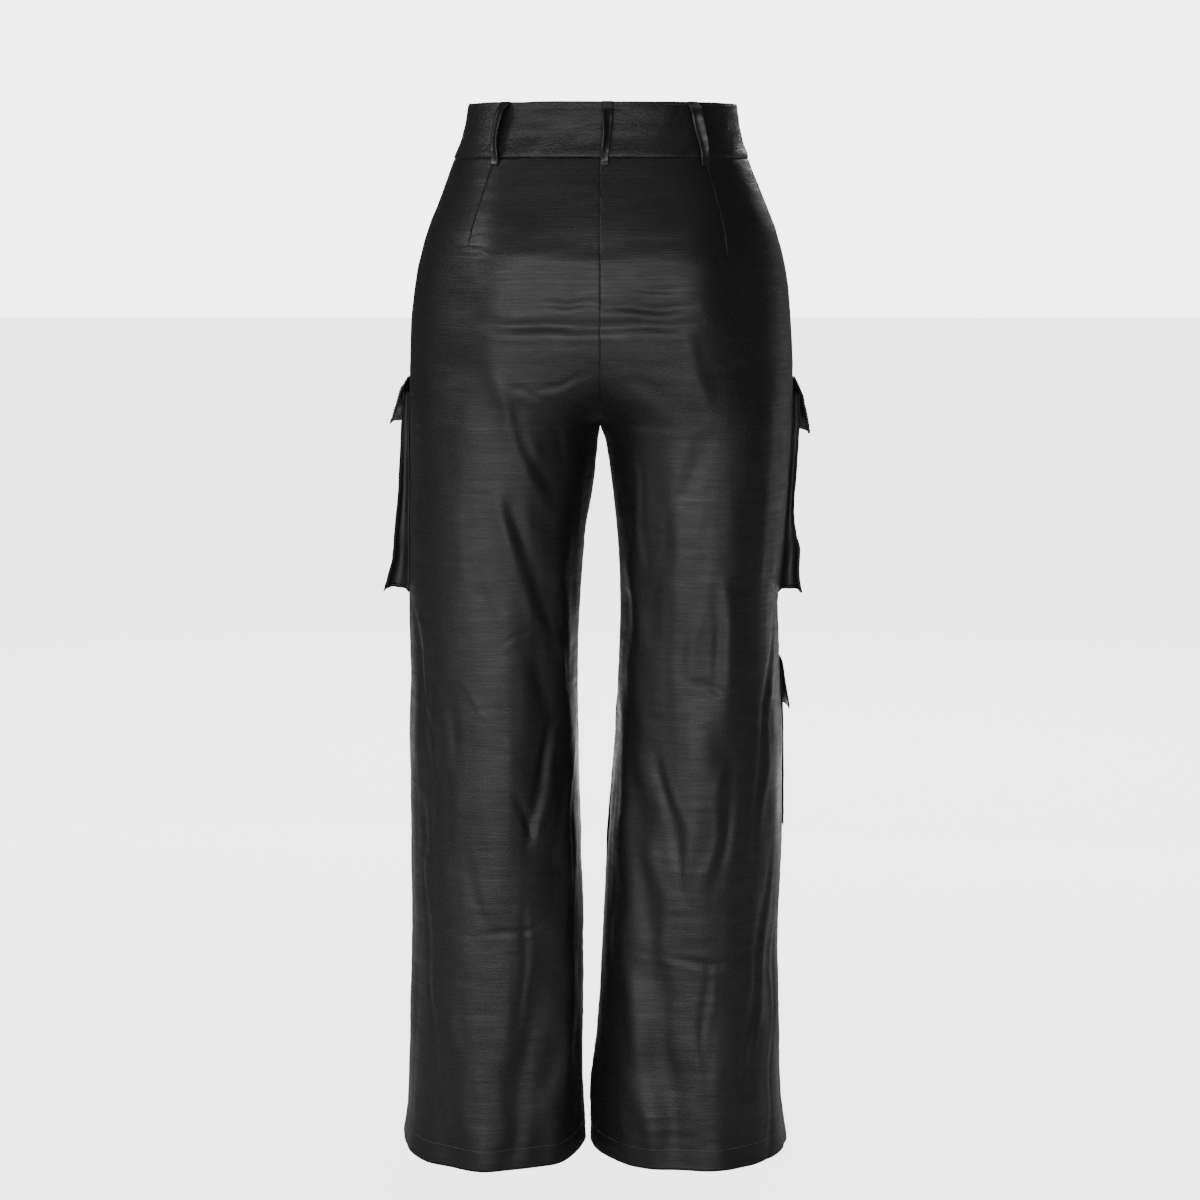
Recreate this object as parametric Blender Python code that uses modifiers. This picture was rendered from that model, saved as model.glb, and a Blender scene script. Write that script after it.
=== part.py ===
"""Wide-leg cargo trousers, filled out as worn, with each cut piece of cloth a closed shell.

Metres, +Z up. The wearer faces -Y and the wearer's left is +X. The origin is the centre of
the waistband at its mid height. One skin is worked out for each side of the garment from a
table of level sections and a table of folds. Every piece is made from points on that skin,
moved in or out, so that pieces follow each other and keep a small gap at the seams.
"""

import math
from collections import namedtuple

import bmesh
import bpy
import numpy as np
from mathutils import Vector

# Heights down the garment
SKIN_TOP = 0.030
BAND_TOP = 0.027
BAND_LOW = -0.026
CROTCH_Z = -0.283
FLY_END = -0.200
FLY_FADE = 0.025
HEM_Z = -1.015
HEM_TURN = 0.022
HEM_RISE = 0.008

# Cloth
LAYER = 0.0015
BAND_WALL = 0.003
BAND_PROUD = 0.0007
HEM_WALL = 0.0028
GAP = 0.0003
SEAM_HALF = 0.00017
SEAM_STRIP = 0.003
ROUNDNESS = 2.2

# Slanted hip-pocket mouth: from the band to the side seam
MOUTH_REACH = 0.095
MOUTH_LOW = -0.100
FACING_UNDER = 0.028
FACING_BEHIND = 0.0014

# Fly and waist closure, the right front lapped over the left
LAP = 0.008
LAP_RAMP = 0.020
UNDERLAP = 0.030
LAP_STEP = 0.0020
BUTTON_RADIUS = 0.009
BUTTON_THICK = 0.0034
BUTTON_RIM = 0.0009
BUTTON_X = -0.010
HOLE_RADIUS = 0.0009
HOLE_SPREAD = 0.0024

# Cargo pockets, from just behind the side seam towards the front
CARGO_BACK = 0.012
CARGO_FRONT = -0.138
CARGO_MOUTH = -0.252
CARGO_LOW = -0.452
CARGO_CLEAR = 0.0016
CARGO_CROWN = 0.004
FLAP_TOP = -0.238
FLAP_INSET = 0.004
FLAP_LIFT = 0.010
FLAP_WALL = 0.0022

# Knee pocket, wearer's right leg only
KNEE_BACK = 0.004
KNEE_FRONT = -0.116
KNEE_MOUTH = -0.530
KNEE_LOW = -0.690
KNEE_OUT = 0.0021
KNEE_WALL = 0.0013
KNEE_FLAP_INSET = 0.002
KNEE_FLAP_WALL = 0.0016

LOOP_WIDTH = 0.0105
LOOP_WALL = 0.0016

LEFT = 1
RIGHT = -1

# Level sections. out and inner are distances from the centre plane, back and front are depths,
# and join runs from 0, one open half ring, to 1, a closed leg.
Section = namedtuple("Section", "z left_out left_in right_out right_in back front join")
SECTIONS = [
    Section(0.030, 0.1265, 0.0002, 0.1315, 0.0002, 0.088, 0.091, 0.00),
    Section(-0.005, 0.1335, 0.0002, 0.1370, 0.0002, 0.092, 0.095, 0.00),
    Section(-0.026, 0.1420, 0.0002, 0.1445, 0.0002, 0.098, 0.099, 0.00),
    Section(-0.062, 0.1555, 0.0002, 0.1590, 0.0002, 0.111, 0.104, 0.00),
    Section(-0.100, 0.1700, 0.0002, 0.1735, 0.0002, 0.123, 0.107, 0.00),
    Section(-0.148, 0.1810, 0.0002, 0.1840, 0.0002, 0.130, 0.109, 0.00),
    Section(-0.195, 0.1858, 0.0002, 0.1878, 0.0002, 0.128, 0.109, 0.05),
    Section(-0.225, 0.1866, 0.0002, 0.1892, 0.0002, 0.122, 0.108, 0.25),
    Section(-0.250, 0.1870, 0.0002, 0.1893, 0.0002, 0.117, 0.107, 0.58),
    Section(-0.268, 0.1872, 0.0002, 0.1893, 0.0002, 0.113, 0.106, 0.86),
    Section(-0.283, 0.1874, 0.0004, 0.1891, 0.0004, 0.111, 0.106, 1.00),
    Section(-0.300, 0.1876, 0.0020, 0.1886, 0.0055, 0.109, 0.106, 1.00),
    Section(-0.335, 0.1882, 0.0060, 0.1868, 0.0105, 0.107, 0.106, 1.00),
    Section(-0.400, 0.1895, 0.0150, 0.1820, 0.0175, 0.105, 0.104, 1.00),
    Section(-0.465, 0.1902, 0.0198, 0.1772, 0.0205, 0.103, 0.102, 1.00),
    Section(-0.520, 0.1888, 0.0220, 0.1788, 0.0190, 0.101, 0.101, 1.00),
    Section(-0.600, 0.1912, 0.0220, 0.1826, 0.0145, 0.099, 0.100, 1.00),
    Section(-0.700, 0.1912, 0.0195, 0.1825, 0.0075, 0.098, 0.099, 1.00),
    Section(-0.800, 0.1908, 0.0170, 0.1796, 0.0022, 0.100, 0.099, 1.00),
    Section(-0.900, 0.1940, 0.0170, 0.1826, -0.0030, 0.104, 0.101, 1.00),
    Section(-0.970, 0.1962, 0.0158, 0.1852, -0.0105, 0.107, 0.104, 1.00),
    Section(-1.015, 0.2015, 0.0140, 0.1905, -0.0100, 0.110, 0.106, 1.00),
]

# The largest folds that run down the cloth. face is 1 at the back and -1 at the front, bow moves
# the middle sideways, width is half the fold's width and height is out from the skin.
Fold = namedtuple("Fold", "face top low x_top x_low bow width height")
FOLDS = {
    LEFT: [
        Fold(1, -0.200, -0.370, 0.103, 0.045, 0.006, 0.010, 0.0040),
        Fold(1, -0.280, -0.500, 0.106, 0.050, 0.006, 0.011, 0.0050),
        Fold(1, -0.245, -0.345, 0.086, 0.050, 0.004, 0.008, -0.0040),
        Fold(1, -0.270, -0.500, 0.112, 0.040, 0.004, 0.011, -0.0045),
        Fold(1, -0.575, -0.700, 0.046, 0.070, 0.001, 0.009, -0.0050),
        Fold(1, -0.520, -0.760, 0.092, 0.092, 0.004, 0.030, 0.0050),
        Fold(1, -0.790, -1.060, 0.048, 0.090, 0.004, 0.014, -0.0060),
        Fold(1, -0.810, -1.080, 0.026, 0.052, 0.001, 0.014, 0.0050),
        Fold(1, -0.860, -1.120, 0.112, 0.104, 0.000, 0.022, 0.0070),
        Fold(1, -0.900, -1.100, 0.160, 0.152, 0.000, 0.018, -0.0045),
        Fold(-1, -0.300, -0.540, 0.075, 0.100, 0.006, 0.015, -0.0030),
        Fold(-1, -0.320, -0.580, 0.105, 0.128, 0.004, 0.015, 0.0035),
        Fold(-1, -0.480, -0.780, 0.040, 0.075, -0.006, 0.014, -0.0040),
        Fold(-1, -0.560, -1.100, 0.115, 0.100, 0.006, 0.022, 0.0060),
        Fold(-1, -0.780, -1.100, 0.140, 0.148, 0.000, 0.016, -0.0050),
        Fold(-1, -0.800, -1.110, 0.060, 0.054, 0.000, 0.016, -0.0050),
    ],
    RIGHT: [
        Fold(1, -0.280, -0.360, 0.104, 0.072, 0.002, 0.009, -0.0035),
        Fold(1, -0.350, -0.450, 0.064, 0.054, 0.002, 0.008, -0.0035),
        Fold(1, -0.420, -0.540, 0.112, 0.114, 0.002, 0.008, -0.0040),
        Fold(1, -0.420, -0.600, 0.122, 0.122, 0.002, 0.011, 0.0040),
        Fold(1, -0.570, -0.860, 0.031, 0.060, -0.004, 0.011, -0.0050),
        Fold(1, -0.590, -0.760, 0.052, 0.084, 0.003, 0.009, -0.0040),
        Fold(1, -0.560, -0.780, 0.096, 0.094, 0.000, 0.026, 0.0055),
        Fold(1, -0.600, -0.760, 0.131, 0.110, 0.002, 0.009, -0.0040),
        Fold(1, -0.790, -1.060, 0.052, 0.088, -0.005, 0.014, -0.0060),
        Fold(1, -0.820, -1.080, 0.030, 0.062, 0.000, 0.013, 0.0045),
        Fold(1, -0.880, -1.120, 0.112, 0.110, 0.000, 0.026, 0.0060),
        Fold(-1, -0.300, -0.520, 0.072, 0.100, 0.006, 0.015, -0.0030),
        Fold(-1, -0.340, -0.600, 0.100, 0.122, 0.004, 0.015, 0.0035),
        Fold(-1, -0.500, -0.820, 0.038, 0.066, -0.006, 0.014, -0.0040),
        Fold(-1, -0.600, -1.100, 0.108, 0.096, 0.004, 0.022, 0.0060),
        Fold(-1, -0.820, -1.100, 0.136, 0.142, 0.000, 0.016, -0.0050),
        Fold(-1, -0.800, -1.110, 0.052, 0.048, 0.000, 0.016, -0.0050),
    ],
}

# Creases that run across the back: from x_in to x_out, sagging in the middle
Crease = namedtuple("Crease", "side x_in x_out z_in z_out sag width height")
CREASES = [
    Crease(LEFT, 0.010, 0.100, -0.181, -0.181, 0.002, 0.014, -0.0020),
    Crease(RIGHT, 0.010, 0.100, -0.181, -0.183, 0.002, 0.014, -0.0020),
    Crease(LEFT, 0.010, 0.090, -0.236, -0.242, 0.006, 0.015, -0.0025),
    Crease(RIGHT, 0.010, 0.090, -0.232, -0.244, 0.004, 0.015, -0.0020),
    Crease(LEFT, 0.040, 0.120, -0.764, -0.772, 0.008, 0.020, -0.0020),
    Crease(RIGHT, 0.060, 0.140, -0.797, -0.803, 0.010, 0.020, -0.0020),
]

# How far the cargo pocket, its flap and the belt loops stand off the leg or the band
Stand = namedtuple("Stand", "z out")
CARGO_STAND = [
    Stand(-0.252, 0.0075),
    Stand(-0.290, 0.0080),
    Stand(-0.335, 0.0095),
    Stand(-0.370, 0.0120),
    Stand(-0.410, 0.0165),
    Stand(-0.452, 0.0215),
]
FLAP_STAND = [
    Stand(-0.238, 0.0032),
    Stand(-0.245, 0.0070),
    Stand(-0.252, 0.0108),
    Stand(-0.268, 0.0145),
    Stand(-0.288, 0.0190),
]
KNEE_FLAP_STAND = [
    Stand(-0.518, 0.0026),
    Stand(-0.525, 0.0040),
    Stand(-0.545, 0.0056),
    Stand(-0.569, 0.0078),
]
LOOP_STAND = [
    Stand(0.0255, 0.0029),
    Stand(0.0235, 0.0036),
    Stand(0.0195, 0.0072),
    Stand(0.0120, 0.0084),
    Stand(-0.0100, 0.0084),
    Stand(-0.0200, 0.0076),
    Stand(-0.0265, 0.0040),
    Stand(-0.0300, 0.0030),
    Stand(-0.0335, 0.0028),
]

Loop = namedtuple("Loop", "name side face x_top x_low")
LOOPS = [
    Loop("belt_loop_back_left", LEFT, 1, 0.0885, 0.0970),
    Loop("belt_loop_back_centre", RIGHT, 1, 0.0070, 0.0045),
    Loop("belt_loop_back_right", RIGHT, 1, 0.0870, 0.0970),
    Loop("belt_loop_front_left", LEFT, -1, 0.0720, 0.0760),
    Loop("belt_loop_front_right", RIGHT, -1, 0.0720, 0.0760),
]

# The strips behind the fly: how far each reaches to the right and left of the centre, its wall,
# how far its outer face lies behind the front, and its low end
Strip = namedtuple("Strip", "name to_right to_left wall inward low")
FLY_STRIPS = [
    Strip("zip_tape", 0.013, 0.013, 0.0010, 0.0041, -0.180),
    Strip("fly_shield", 0.030, 0.012, LAYER, 0.0055, -0.190),
]

# How finely the skin and each piece is divided
ROW_STEP = 0.004
RING_POINTS = 97
HALF_COLUMNS = 48
BAND_ROWS = (BAND_TOP, 0.012, -0.008, BAND_LOW)
BAND_COLUMNS = 22
FACING_ROWS = 6
FACING_COLUMNS = 8
STRIP_ROWS = 9
STRIP_COLUMNS = 6
CARGO_ROWS = 9
CARGO_COLUMNS = 10
KNEE_ROWS = 7
KNEE_COLUMNS = 8


# ---------------------------------------------------------------- the skin


def smooth_table(z, heights, values):
    """Reads a table at z along a smooth curve that never passes beyond its rows."""
    heights = np.asarray(heights, float)[::-1]
    values = np.asarray(values, float)[::-1]
    step = np.diff(heights)
    rise = np.diff(values) / step
    slope = np.zeros(len(values))
    same = rise[1:] * rise[:-1] > 0
    slope[1:-1][same] = 2 * rise[1:][same] * rise[:-1][same] / (rise[1:] + rise[:-1])[same]
    slope[0] = rise[0]
    slope[-1] = rise[-1]
    row = np.clip(np.searchsorted(heights, z) - 1, 0, len(step) - 1)
    t = (z - heights[row]) / step[row]
    t = np.clip(t, 0, 1)
    start = values[row] * (1 + 2 * t) * (1 - t) ** 2 + slope[row] * step[row] * t * (1 - t) ** 2
    end = values[row + 1] * t**2 * (3 - 2 * t) - slope[row + 1] * step[row] * t**2 * (1 - t)
    return start + end


def section_value(name, z):
    return smooth_table(z, [row.z for row in SECTIONS], [getattr(row, name) for row in SECTIONS])


def stand_off(table, z):
    return smooth_table(z, [row.z for row in table], [row.out for row in table])


def ring(side, z):
    """One side's outline at a level, from the front end to the back end, with its outward
    direction and its length measured from the side seam, positive to the back."""
    out = section_value("left_out" if side == LEFT else "right_out", z)
    inner = section_value("left_in" if side == LEFT else "right_in", z)
    back = section_value("back", z)
    front = section_value("front", z)
    join = float(np.clip(section_value("join", z), 0, 1))
    half_width = (out - inner) / (1 + join)
    centre_x = inner + join * half_width
    half_depth = (back + front) / 2
    centre_y = (back - front) / 2
    last = math.acos(-(join ** (ROUNDNESS / 2)))
    angle = np.linspace(-last, last, RING_POINTS)
    cos, sin = np.cos(angle), np.sin(angle)
    x = centre_x + half_width * np.sign(cos) * np.abs(cos) ** (2 / ROUNDNESS)
    y = centre_y + half_depth * np.sign(sin) * np.abs(sin) ** (2 / ROUNDNESS)
    arc = np.concatenate([[0], np.cumsum(np.hypot(np.diff(x), np.diff(y)))])
    arc -= np.interp(0.0, angle, arc)
    return x, y, arc


def bump(distance, width):
    return np.exp(-((distance / width) ** 2))


def fold_height(side, z, x, y, arc):
    """How far the folds move each point of a ring along its outward direction."""
    height = np.zeros(len(x))
    side_point = int(np.argmin(np.abs(arc)))
    for fold in FOLDS[side]:
        along = (fold.top - z) / (fold.top - fold.low)
        if not 0 < along < 1:
            continue
        centre_x = fold.x_top + (fold.x_low - fold.x_top) * along + fold.bow * math.sin(math.pi * along)
        half = slice(side_point, None) if fold.face == 1 else slice(side_point, None, -1)
        centre = np.interp(-centre_x, -x[half], arc[half])
        height += fold.height * math.sin(math.pi * along) ** 0.8 * bump(arc - centre, fold.width)
    for crease in CREASES:
        if crease.side != side:
            continue
        along = np.clip((x - crease.x_in) / (crease.x_out - crease.x_in), 0, 1)
        middle = crease.z_in + (crease.z_out - crease.z_in) * along
        middle = middle - crease.sag * np.sin(math.pi * along)
        ends = np.sin(math.pi * along) * (y > 0)
        height += crease.height * ends * bump(z - middle, crease.width)
    return height


def make_skin(side):
    """A grid of points and outward directions over one side, from the waist to the hem."""
    levels = np.concatenate(
        [
            np.arange(SKIN_TOP, CROTCH_Z, -ROW_STEP),
            np.arange(CROTCH_Z, HEM_Z - ROW_STEP, -ROW_STEP),
        ]
    )
    share = np.linspace(-1, 1, 2 * HALF_COLUMNS + 1)
    points = np.zeros((len(levels), len(share), 3))
    ends = np.zeros((len(levels), 2))
    for i, z in enumerate(levels):
        x, y, arc = ring(side, z)
        along = np.gradient(x), np.gradient(y)
        size = np.hypot(*along)
        height = fold_height(side, z, x, y, arc)
        x = x + height * along[1] / size
        y = y - height * along[0] / size
        wanted = np.where(share < 0, -share * arc[0], share * arc[-1])
        points[i, :, 0] = np.interp(wanted, arc, x)
        points[i, :, 1] = np.interp(wanted, arc, y)
        points[i, :, 2] = z
        ends[i] = arc[0], arc[-1]
    down = np.gradient(points, axis=0)
    across = np.gradient(points, axis=1)
    normals = np.cross(across, -down)
    normals /= np.linalg.norm(normals, axis=2, keepdims=True)
    points[:, :, 0] *= side
    normals[:, :, 0] *= side
    return {"levels": levels, "points": points, "normals": normals, "ends": ends}


SKINS = {side: make_skin(side) for side in (LEFT, RIGHT)}


def seam_arc(side, face, z):
    """The length round the cloth, signed, from the side seam to the centre seam or inseam."""
    skin = SKINS[side]
    column = 1 if face == 1 else 0
    return float(np.interp(-z, -skin["levels"], skin["ends"][:, column]))


def on_skin(side, z, arc, out):
    """The point at a height and a length from the side seam, moved out from the skin."""
    end = seam_arc(side, 1 if arc > 0 else -1, z)
    if z > CROTCH_Z and abs(arc) > abs(end):
        side = -side
        other_end = seam_arc(side, 1 if arc > 0 else -1, z)
        arc = other_end - (arc - end)
        end = other_end
    skin = SKINS[side]
    row = np.interp(-z, -skin["levels"], np.arange(len(skin["levels"])))
    column = HALF_COLUMNS * (1 + min(abs(arc / end), 1) * math.copysign(1, arc))
    i = min(int(row), len(skin["levels"]) - 2)
    j = min(int(column), 2 * HALF_COLUMNS - 1)
    a, b = row - i, column - j
    weights = np.array([[(1 - a) * (1 - b), (1 - a) * b], [a * (1 - b), a * b]])
    point = (weights[:, :, None] * skin["points"][i : i + 2, j : j + 2]).sum((0, 1))
    normal = (weights[:, :, None] * skin["normals"][i : i + 2, j : j + 2]).sum((0, 1))
    return point + normal / np.linalg.norm(normal) * out


def arc_at_x(side, face, z, x):
    """The length from the side seam to the place at distance x from the centre plane."""
    skin = SKINS[side]
    row = int(round(float(np.interp(-z, -skin["levels"], np.arange(len(skin["levels"]))))))
    if face == 1:
        half = skin["points"][row, HALF_COLUMNS:, 0] * side
    else:
        half = skin["points"][row, HALF_COLUMNS::-1, 0] * side
    share = float(np.interp(-x, -half, np.linspace(0, 1, HALF_COLUMNS + 1)))
    return share * seam_arc(side, face, z)


# ---------------------------------------------------------------- making solids


def clear_scene():
    for obj in list(bpy.data.objects):
        bpy.data.objects.remove(obj, do_unlink=True)


def make_material(name, color, roughness, metallic):
    material = bpy.data.materials.new(name)
    material.use_nodes = True
    shader = material.node_tree.nodes["Principled BSDF"]
    shader.inputs["Base Color"].default_value = (*color, 1.0)
    shader.inputs["Roughness"].default_value = roughness
    shader.inputs["Metallic"].default_value = metallic
    material.diffuse_color = (*color, 1.0)
    return material


def cloth_shell(name, grid, wall, material, double_rows=0, wall_double=0.0):
    """A sheet through a grid of points, its wall on the inner side. The last rows may be a
    turned-up double thickness."""
    rows, columns = len(grid), len(grid[0])
    mesh = bpy.data.meshes.new(name)
    corners = [tuple(point) for line in grid for point in line]
    faces = []
    for i in range(rows - 1):
        for j in range(columns - 1):
            a = i * columns + j
            faces.append((a, a + 1, a + 1 + columns, a + columns))
    mesh.from_pydata(corners, [], faces)
    mesh.materials.append(material)
    obj = bpy.data.objects.new(name, mesh)
    trousers.objects.link(obj)
    thickest = max(wall, wall_double)
    solidify = obj.modifiers.new("wall", "SOLIDIFY")
    solidify.thickness = thickest
    solidify.offset = -1
    if double_rows:
        group = obj.vertex_groups.new(name="layers")
        single = list(range((rows - double_rows) * columns))
        double = list(range((rows - double_rows) * columns, rows * columns))
        group.add(single, wall / thickest, "REPLACE")
        group.add(double, 1.0, "REPLACE")
        solidify.vertex_group = "layers"
    mesh.shade_smooth()
    return obj


def facing_out(grid, outward):
    """The grid with its columns in the order that turns its faces outward."""
    a, b, c = (np.array(p) for p in (grid[0][0], grid[0][1], grid[1][0]))
    if np.dot(np.cross(b - a, c - a), outward) < 0:
        return [line[::-1] for line in grid]
    return grid


def outward_at(side, z, arc):
    return on_skin(side, z, arc, 0.01) - on_skin(side, z, arc, 0.0)


# ---------------------------------------------------------------- leg panels

BODY_ROWS = [
    -0.055, -0.085, -0.115, -0.145, -0.175, -0.200, -0.225, -0.250, -0.270, -0.290,
    -0.320, -0.355, -0.395, -0.440, -0.485, -0.530, -0.580, -0.630, -0.680, -0.735,
    -0.790, -0.840, -0.890, -0.940,
]  # fmt: skip
PANEL_COLUMNS = 9


def panel_shares():
    """Column places from the side seam, 0, to the other seam, 1."""
    return [i / PANEL_COLUMNS for i in range(PANEL_COLUMNS + 1)]


def mouth_height(arc_from_side):
    """The height of the slanted hip-pocket mouth at a length from the side seam."""
    t = min(max(arc_from_side / MOUTH_REACH, 0), 1)
    rise = math.sin(t * math.pi / 2) ** 0.9 * 0.35 + t * 0.65
    return MOUTH_LOW + (BAND_LOW - GAP - MOUTH_LOW) * rise


def hem_height(side, arc, end):
    """The hem, raised a little at the left leg's outer side."""
    if side == RIGHT:
        return HEM_Z
    return HEM_Z + HEM_RISE * max(0.0, math.cos(math.pi * min(abs(arc / end) * 1.6, 1))) ** 2


def panel_grid(side, face):
    """Rows of points over a leg panel, each seam edge with a narrow strip along it."""
    top = BAND_LOW - GAP
    heights = [top, top - SEAM_STRIP] + BODY_ROWS
    heights += [HEM_Z + HEM_TURN + 0.001, HEM_Z + HEM_TURN - 0.001, HEM_Z]
    grid = []
    for z in heights:
        end = seam_arc(side, face, z)
        length = abs(end)
        arcs = [share * length for share in panel_shares()]
        arcs[0] = SEAM_HALF
        arcs[-1] = length - SEAM_HALF
        arcs.insert(1, SEAM_STRIP)
        arcs.insert(-1, length - SEAM_STRIP)
        line = []
        for arc in arcs:
            height = z
            if face == -1:
                lift = mouth_height(arc) - top
                fade = max(0.0, 1 - (top - z) / (top - CROTCH_Z))
                height = z + lift * fade
            if z < HEM_Z + HEM_TURN + 0.01:
                height = z + hem_height(side, arc, length) - HEM_Z
            line.append(panel_point(side, face, height, arc, length))
        grid.append(line)
    return grid


def lap_amount(z):
    """1 along the fly opening, fading to 0 at its end."""
    return min(max((z - FLY_END) / FLY_FADE, 0), 1)


def step_amount(z):
    """1 wherever there is any lap, fading to 0 below the end of the fly."""
    return min(max((z - FLY_END) / FLY_FADE + 1, 0), 1)


def under_step(distance):
    """How far the under side of the lap has moved in, at a distance from the centre."""
    t = min(max((LAP + LAP_RAMP - distance) / LAP_RAMP, 0), 1)
    return t * t * (3 - 2 * t)


def panel_point(side, face, z, arc, length):
    out = 0.0
    if face == -1 and z > CROTCH_Z:
        from_centre = length - arc
        if side == LEFT:
            out = -LAP_STEP * under_step(from_centre) * step_amount(z)
        elif from_centre < SEAM_STRIP / 2:
            arc += (LAP + SEAM_HALF) * lap_amount(z)
    return on_skin(side, z, face * arc, out)


def make_panels(material):
    for side, side_name in ((LEFT, "left"), (RIGHT, "right")):
        for face, face_name in ((1, "back"), (-1, "front")):
            grid = panel_grid(side, face)
            grid = facing_out(grid, outward_at(side, -0.04, face * 0.002))
            cloth_shell(f"{face_name}_panel_{side_name}", grid, LAYER, material, 2, HEM_WALL)


# ---------------------------------------------------------------- waist, fly and hip pockets


def make_facings(material):
    """The piece that fills the slanted mouth, one layer behind the front panel."""
    for side, name in ((LEFT, "hip_facing_left"), (RIGHT, "hip_facing_right")):
        top = BAND_LOW - GAP
        grid = []
        for v in np.linspace(0, 1, FACING_ROWS):
            line = []
            for u in np.linspace(0, 1, FACING_COLUMNS):
                arc = SEAM_HALF + u * (MOUTH_REACH + 0.5 * FACING_UNDER)
                low = min(mouth_height(arc), top) - FACING_UNDER
                z = top + (low - top) * v
                line.append(on_skin(side, z, -arc, -LAYER - FACING_BEHIND))
            grid.append(line)
        grid = facing_out(grid, outward_at(side, -0.06, -0.03))
        cloth_shell(name, grid, LAYER, material)


def make_waistband(material):
    """One strip from the underlap, round the body, to the lapped end at the centre front."""
    under = [-UNDERLAP, -UNDERLAP / 2, -0.002, 0.004]
    under += [LAP + share * LAP_RAMP for share in (0, 0.25, 0.5, 0.75, 1)]
    grid = []
    for z in BAND_ROWS:
        left_front = -seam_arc(LEFT, -1, z)
        left_back = seam_arc(LEFT, 1, z)
        right_back = seam_arc(RIGHT, 1, z)
        right_front = -seam_arc(RIGHT, -1, z)
        line = []
        for x in under:
            out = BAND_PROUD - (BAND_WALL + 3 * GAP) * under_step(x)
            line.append(on_skin(LEFT, z, -(left_front - x), out))
        start = left_front - LAP - LAP_RAMP - 0.006
        for arc in np.linspace(-start, left_back, BAND_COLUMNS):
            line.append(on_skin(LEFT, z, arc, BAND_PROUD))
        for arc in np.linspace(right_back, -right_front, BAND_COLUMNS)[1:]:
            line.append(on_skin(RIGHT, z, arc, BAND_PROUD))
        line.append(on_skin(RIGHT, z, -(right_front + LAP), BAND_PROUD))
        grid.append(line)
    grid = facing_out(grid, outward_at(LEFT, 0.0, -seam_arc(LEFT, 1, 0.0) * 0.9))
    cloth_shell("waistband", grid, BAND_WALL, material)


def make_fly(cloth, tape):
    """The zip tape and the shield behind the fly, inside the fronts."""
    for strip, material in zip(FLY_STRIPS, (tape, cloth)):
        grid = []
        for z in np.linspace(BAND_LOW - 3 * GAP, strip.low, STRIP_ROWS):
            end = seam_arc(RIGHT, -1, z)
            line = [
                on_skin(RIGHT, z, end - x, -strip.inward)
                for x in np.linspace(-strip.to_right, strip.to_left, STRIP_COLUMNS)
            ]
            grid.append(line)
        grid = facing_out(grid, outward_at(RIGHT, -0.06, seam_arc(RIGHT, -1, -0.06)))
        cloth_shell(strip.name, grid, strip.wall, material)


def make_button(material):
    """A four-hole button on the lapped end of the band."""
    arc = seam_arc(RIGHT, -1, 0.0) - BUTTON_X
    centre = on_skin(RIGHT, 0.0, arc, BAND_PROUD + 2 * GAP + BUTTON_THICK / 2)
    outward = outward_at(RIGHT, 0.0, arc)
    mesh = bpy.data.meshes.new("waist_button")
    shape = bmesh.new()
    bmesh.ops.create_cone(
        shape, cap_ends=True, segments=24, radius1=BUTTON_RADIUS, radius2=BUTTON_RADIUS,
        depth=BUTTON_THICK,
    )  # fmt: skip
    shape.to_mesh(mesh)
    shape.free()
    mesh.materials.append(material)
    mesh.shade_smooth()
    button = bpy.data.objects.new("waist_button", mesh)
    trousers.objects.link(button)
    button.location = centre
    button.rotation_euler = Vector(outward).to_track_quat("Z", "Y").to_euler()
    bevel = button.modifiers.new("rim", "BEVEL")
    bevel.width = BUTTON_RIM
    bevel.segments = 2
    bevel.limit_method = "ANGLE"
    for i in range(4):
        angle = math.pi / 4 + i * math.pi / 2
        cut_mesh = bpy.data.meshes.new(f"thread_hole_{i}")
        hole = bmesh.new()
        bmesh.ops.create_cone(
            hole, cap_ends=True, segments=10, radius1=HOLE_RADIUS, radius2=HOLE_RADIUS,
            depth=3 * BUTTON_THICK,
        )  # fmt: skip
        hole.to_mesh(cut_mesh)
        hole.free()
        cutter = bpy.data.objects.new(f"thread_hole_{i}", cut_mesh)
        cutters.objects.link(cutter)
        cutter.parent = button
        cutter.location = (HOLE_SPREAD * math.cos(angle), HOLE_SPREAD * math.sin(angle), 0)
        cutter.display_type = "WIRE"
        cutter.hide_render = True
        cut = button.modifiers.new(f"hole_{i}", "BOOLEAN")
        cut.operation = "DIFFERENCE"
        cut.object = cutter


def make_loops(material):
    """Belt loops: a folded strip fixed at the band's top edge and just below its seam."""
    for loop in LOOPS:
        grid = []
        for stand in LOOP_STAND:
            share = (BAND_TOP - stand.z) / (BAND_TOP - BAND_LOW)
            x = loop.x_top + (loop.x_low - loop.x_top) * share
            middle = arc_at_x(loop.side, loop.face, stand.z, x)
            line = [
                on_skin(loop.side, stand.z, middle + w * LOOP_WIDTH, stand.out)
                for w in (-0.5, 0.0, 0.5)
            ]
            grid.append(line)
        middle = arc_at_x(loop.side, loop.face, 0.0, loop.x_top)
        grid = facing_out(grid, outward_at(loop.side, 0.0, middle))
        cloth_shell(loop.name, grid, LOOP_WALL, material)


# ---------------------------------------------------------------- pockets


def patch(side, arcs, heights, out_of):
    """A grid over a rectangle of the skin, each point moved out by out_of(arc, z)."""
    grid = [[on_skin(side, z, arc, out_of(arc, z)) for arc in arcs] for z in heights]
    middle = (arcs[0] + arcs[-1]) / 2
    return facing_out(grid, outward_at(side, heights[0], middle))


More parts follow.
